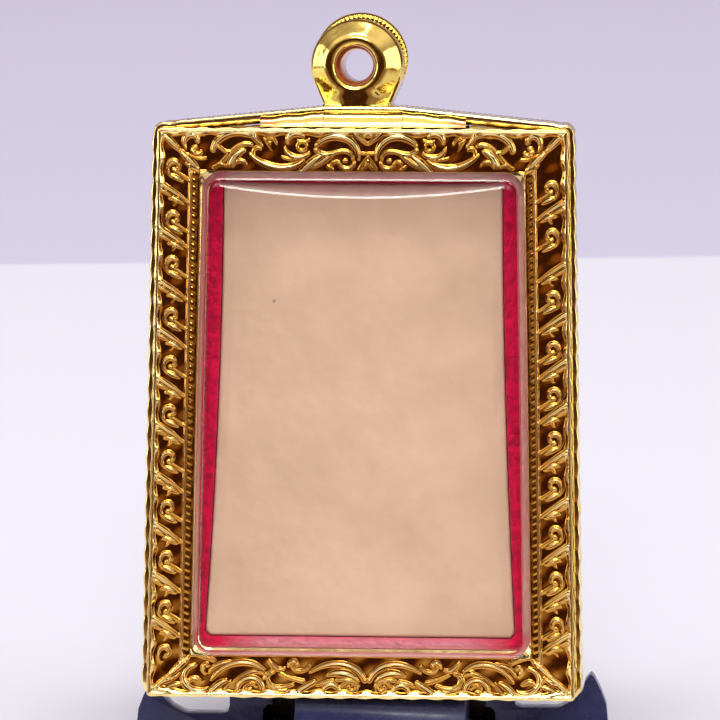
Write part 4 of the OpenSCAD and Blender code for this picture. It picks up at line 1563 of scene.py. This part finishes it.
@dataclass(frozen=True)
class Pane:
    """A clear acrylic pane: a faintly domed face that steps down along its top edge, a shoulder
    with a facet, sides that slope out to the window, and a flange behind the frame. Its top
    step sags in the middle."""

    side: Side
    shoulder: float = 0.16
    corner_r: float = 1.1
    least_r: float = 0.25
    dome: float = 0.10
    step_w: float = 0.16
    step_h: float = 0.115
    step_run: float = 0.12
    step_fall: float = 0.05
    step_tint: float = 0.8
    facet: float = 0.11
    facet_tilt: float = math.radians(36.5)
    slope_start: float = math.radians(58)
    sag: float = 1.05
    bow_from: float = 3.2
    bow_fade: float = 2.6
    bow_gain: float = 6.0
    base_in: float = 0.48
    base_z: float = -1.1

    def build(self, finish: Material) -> Item:
        """Makes the pane: rows of its outline, each moved inwards and set at a depth, from the
        middle of its face over the step, shoulder, facet, side and flange to the middle of its
        back. Each row also says how strongly the painted glow of the felt tints it.

        Args:
            finish: its material.

        Returns:
            The object.
        """
        edge = (CASE.side_bar + CASE.pane_gap, CASE.top_bar + CASE.pane_gap,
                CASE.bottom_bar + CASE.pane_gap - 0.1)
        angles = bearings(CASE.outline(*edge, self.corner_r), 480)
        front = -CASE.frame_t - CASE.gap
        centre = CASE.centre()
        top_y = CASE.height - edge[1]
        half = CASE.half_width(top_y) - edge[0]
        rows, tints = [], []

        def bow(flat: Array) -> Array:
            """How far each point shares in the top edge's sag: a parabola across, near the top."""
            near_top = smooth_ramp((flat[:, 1] - top_y + self.bow_from) / self.bow_fade)
            return np.clip(1 - (flat[:, 0] / half) ** 2, 0, None) * near_top

        def row(inset: float, z: float, sag: float = 0.0, sunk: float = 0.0) -> Array:
            """The pane's outline moved inwards, with its top edge sagging and sunk, at a
            depth."""
            flat = at_bearings(CASE.outline(*(width + inset for width in edge),
                                            max(self.corner_r - inset, self.least_r)), angles)
            bent = bow(flat)
            flat = flat - np.stack([np.zeros(len(bent)), bent * sag], axis=1)
            return at_depth(flat, z - sunk * np.minimum(1.0, bent * self.bow_gain))

        def add(line: Array, tint: "Array | float" = 0.0) -> None:
            """Adds a row and its tint, its share of the felt's painted glow."""
            rows.append(line)
            tints.append(np.broadcast_to(tint, angles.size))

        top = CASE.pane_rise - self.dome
        inner = self.shoulder + self.step_run + self.step_w
        rim = row(inner, top, self.sag)[:, :2]
        level = np.minimum(1.0, self.bow_gain * bow(row(self.shoulder, top)[:, :2]))
        # shade: how strongly the felt's painted glow tints the zone under the top step.
        shade = self.step_tint * level
        for s in np.append(np.linspace(0.0, 1.0, 26)[1:-1], [0.985, 0.994, 1.0]):
            add(at_depth(centre + (rim - centre) * s, top + self.dome * (1 - s**2)))
        for share in (0.12, 0.5, 0.88, 1.0):
            add(row(inner - self.step_w * share, top, self.sag, share * self.step_h),
                shade * (share == 1.0))
        for share in (0.35, 0.75):
            add(row(self.shoulder + self.step_run * (1 - share), top, self.sag * (1 - share),
                    self.step_h + self.step_fall * share), shade)
        r, sunk = self.shoulder, self.step_h + self.step_fall
        facet_in = self.facet * math.cos(self.facet_tilt)
        facet_down = self.facet * math.sin(self.facet_tilt)
        turn = np.concatenate([np.linspace(0, self.facet_tilt, 6),
                               np.linspace(self.facet_tilt, self.slope_start, 4)])
        for k, a in enumerate(turn):
            past = k > 5
            side_tint = float(np.interp(k, [3, 6], [0.0, 1.0]))
            add(row(r * (1 - math.sin(a)) - past * facet_in,
                    top - r * (1 - math.cos(a)) - past * facet_down, 0.0, sunk),
                float(a > self.facet_tilt) * level + side_tint * (1 - level))
        start_in = r * (1 - math.sin(self.slope_start)) - facet_in
        start_z = top - r * (1 - math.cos(self.slope_start)) - 0.02 - facet_down
        for share in (0.04, 0.96, 1.0):
            add(row(start_in + (-self.base_in - start_in) * share,
                    start_z + (self.base_z - start_z) * share, 0.0, sunk * (1 - share)), 1.0)
        for out, z in ((0.0, self.base_z - 0.04), (0.0, front + 0.03), (0.01, front),
                       (0.04, front)):
            add(row(-self.base_in - out, z))
        flange = at_bearings(CASE.outline(CASE.side_bar - 1, CASE.top_bar - 1,
                                          CASE.bottom_bar - 1, 0.6), angles)
        add(at_depth(flange, front))
        for s in np.linspace(1.0, 0.0, 14)[:-1]:
            add(at_depth(centre + (flange - centre) * s, front - CASE.flange_t))
        points, quads, others = lofted(rows, Ends.FANNED)
        if self.side is Side.REAR:
            points[:, 2] = -CASE.depth - points[:, 2]
            quads = quads[:, ::-1]
            others = [face[::-1] for face in others]
        untinted = np.zeros(len(points) - len(rows) * angles.size)
        item = add_piece(f"{self.side.value}_pane", (points, quads, others), finish,
                         f"{self.side.value}_lens", np.concatenate([*tints, untinted]),
                         flat_others=False)
        item.visible_shadow = False
        return item


@dataclass(frozen=True)
class Tablet:
    """The pressed-clay tablet: a slab that flares towards its foot, with soft edges."""

    top_w: float = 22.1
    bottom_w: float = 24.7
    height: float = 36.0
    flare: float = 1.8
    shift: float = 0.12
    head_room: float = 0.45
    base_y: float = CASE.height - (CASE.top_bar + CASE.pane_gap + 0.1) - head_room - height
    corner_cut: float = 0.35
    edge_r: float = 0.4
    edge_sunk: float = 0.2
    face_sunk: float = 0.08
    rim_sunk: float = 0.12
    rim_from: float = 0.93

    def flaring(self, y: "Array | float") -> "Array | float":
        """How far its flare has come at a height: a power of the distance from its top."""
        return np.clip((self.height - y) / self.height, 0, 1) ** self.flare

    def half(self, y: "Array | float") -> "Array | float":
        """Half its width at a height: the top's, plus the flare's share of the rest."""
        return (self.top_w + (self.bottom_w - self.top_w) * self.flaring(y)) / 2

    def outline(self, grow: float) -> Array:
        """The tablet's outline on the face, grown by a clearance.

        Args:
            grow: how far it is moved outwards.

        Returns:
            Rows of x, y.
        """
        cut = self.corner_cut
        rise = np.linspace(cut, self.height - cut, 60)
        right = np.concatenate([[[self.half(0.0) - cut + grow, -grow]],
                                np.stack([self.half(rise) + grow, rise], axis=1),
                                [[self.half(self.height) - cut + grow, self.height + grow]]])
        both = np.concatenate([right, right[::-1] * np.array([-1.0, 1.0])])
        both[:, 0] -= self.shift * self.flaring(both[:, 1])
        return densified(both + np.array([0.0, self.base_y]))

    def build(self, finish: Material) -> Item:
        """Makes the slab: rows of its outline shrunk towards the middle, with round edges and
        faces that swell and sink by a few hundredths of a millimetre.

        Args:
            finish: its material.

        Returns:
            The object.
        """
        outline = self.outline(0.0)
        angles = bearings(outline, 300)
        rim = at_bearings(outline, angles)
        centre = CASE.centre()
        front = -CASE.frame_t - CASE.gap - CASE.flange_t - 0.1
        back = -CASE.depth - front
        away = rim - centre
        reach = np.linalg.norm(away, axis=1)
        rows = []

        def face(z: float, sign: float, order: Array) -> None:
            """Adds the rows of one face: shrunk outlines with gentle hollows and swellings."""
            for s in order:
                flat = centre + away * s
                x, y = flat.T
                swell = (0.035 * np.sin(0.45 * x + 0.31 * y) + 0.03 * np.sin(0.62 * y - 0.2 * x)
                         + 0.015 * np.sin(1.7 * x + 0.9 * y + 1.0)) - self.face_sunk
                near_rim = np.clip((s - self.rim_from) / (1 - self.rim_from), 0, 1)
                rows.append(at_depth(flat, z + sign * (swell - self.rim_sunk * near_rim)))

        def edge(z: float, sign: float, order: Array) -> None:
            """Adds the rows of a round edge, by its angles."""
            for a in order:
                share = 1 - self.edge_r * (1 - math.sin(a)) / reach
                sunk = self.edge_sunk + self.edge_r * (1 - math.cos(a))
                rows.append(at_depth(centre + away * share[:, None], z - sign * sunk))

        shares = np.linspace(0.03, 1.0, 34)[:-1] * (1 - self.edge_r / reach).min()
        turn = np.linspace(0, math.pi / 2, 7)
        face(front, 1.0, shares)
        edge(front, 1.0, turn)
        edge(back, -1.0, turn[::-1])
        face(back, -1.0, shares[::-1])
        return add_piece("amulet_tablet", lofted(rows, Ends.FANNED), finish, "tablet",
                         flat_others=False)


@dataclass(frozen=True)
class Liner:
    """The felt ring packed between the tablet and the case."""

    nap: float = 0.05
    crown: float = 0.18
    sunk: float = 0.2
    lap: float = 0.06
    seed: int = 7

    def build(self, tablet: Tablet, finish: Material) -> Item:
        """Makes the ring: a rounded strip between the case's and the tablet's outline, with a
        fine uneven nap.

        Args:
            tablet: the tablet that it surrounds.
            finish: its material.

        Returns:
            The object.
        """
        line = CASE.outline(CASE.side_bar + CASE.pane_gap + self.lap,
                            CASE.top_bar + CASE.pane_gap + 0.1, CASE.bottom_bar + CASE.pane_gap,
                            0.8)
        angles = bearings(line, 720)
        outer = at_bearings(line, angles)
        inwards = at_bearings(tablet.outline(self.lap), angles) - outer
        front = -CASE.frame_t - CASE.gap - CASE.flange_t - 0.16
        chance = np.random.default_rng(self.seed)
        rows = []
        for share in np.linspace(0, 1, 9):
            fuzz = self.nap * chance.standard_normal(angles.size)
            crown = self.crown * (1 - (2 * share - 1) ** 2)
            z = np.clip(front - self.sunk + crown + fuzz, None, front)
            rows.append(at_depth(outer + inwards * share, z))
        for share in np.linspace(1, 0, 5):
            rows.append(at_depth(outer + inwards * share, -CASE.depth - front + 0.05))
        return add_piece("felt_liner", lofted(rows, Ends.JOINED), finish, "red_liner")


# Easel


@dataclass(frozen=True)
class Easel:
    """The moulded easel, with its edges rounded, in metres."""

    edge_r: float = 0.00028
    join: float = 0.000002
    flat_angle: float = math.radians(1)
    sharp_angle: float = math.radians(25)

    def build(self, finish: Material) -> Item:
        """Copies the easel's solid, joins its triangles and rounds its edges.

        Args:
            finish: its material.

        Returns:
            The object.
        """
        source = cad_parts["display_stand"]
        mesh = source.data.copy()
        mesh.name = "moulded_easel"
        mesh.materials.clear()
        mesh.materials.append(finish)
        shape = bmesh.new()
        shape.from_mesh(mesh)
        bmesh.ops.remove_doubles(shape, verts=shape.verts, dist=self.join)
        bmesh.ops.dissolve_limit(shape, angle_limit=self.flat_angle, verts=shape.verts,
                                 edges=shape.edges)
        for face in shape.faces:
            face.smooth = True
        shape.to_mesh(mesh)
        shape.free()
        item = bpy.data.objects.new("moulded_easel", mesh)
        bpy.context.scene.collection.objects.link(item)
        bevel = item.modifiers.new("soft_edges", "BEVEL")
        bevel.width = self.edge_r
        bevel.segments = 3
        bevel.limit_method = "ANGLE"
        bevel.angle_limit = self.sharp_angle
        bevel.harden_normals = True
        return fix_piece(item, "display_stand")


# All together


def main() -> None:
    """Builds the studio and every piece in order."""
    logging.basicConfig(level=logging.INFO, format="%(message)s")
    PhotoCamera().place()
    studio = Studio()
    studio.sweep(StudioPaper().material())
    studio.room()
    studio.light()
    studio.develop()

    # Cast gold and shade-painted gold take painted shade where their pieces store it.
    cast = GoldPlate("cast_gold", (1.0, 0.83, 0.36), paints_shade=True).material()
    plain = GoldPlate("smooth_gold", ripple=0.000008, ripple_scale=900.0).material()
    # Shade-painted gold: the saddle's and the bail's gold, with painted shade at the saddle's ends
    # and in the bail's bore.
    shaded = GoldPlate("shade_painted_gold", (0.84, 0.64, 0.15), ripple=0.000030, ripple_scale=650.0,
                        deep=(0.64, 0.30, 0.12), paints_shade=True).material()
    clear = ClearAcrylic().material()
    relief = Relief()
    coarse = 1.0
    for side, step in ((Side.FRONT, 0.055), (Side.REAR, 0.09)):
        for bar in Bar:
            ScrollFrame(side, step * coarse).build(bar, relief, cast)
        Pane(side).build(clear)
    SideBand().build(cast)
    Saddle().build(shaded)
    bail = Bail()
    bail.build(shaded)
    bail.build_crown(plain)
    tablet = Tablet()
    tablet.build(PressedClay().material())
    Liner().build(tablet, Felt().material())
    Easel().build(NavyPlastic().material())


if __name__ == "__main__":
    main()
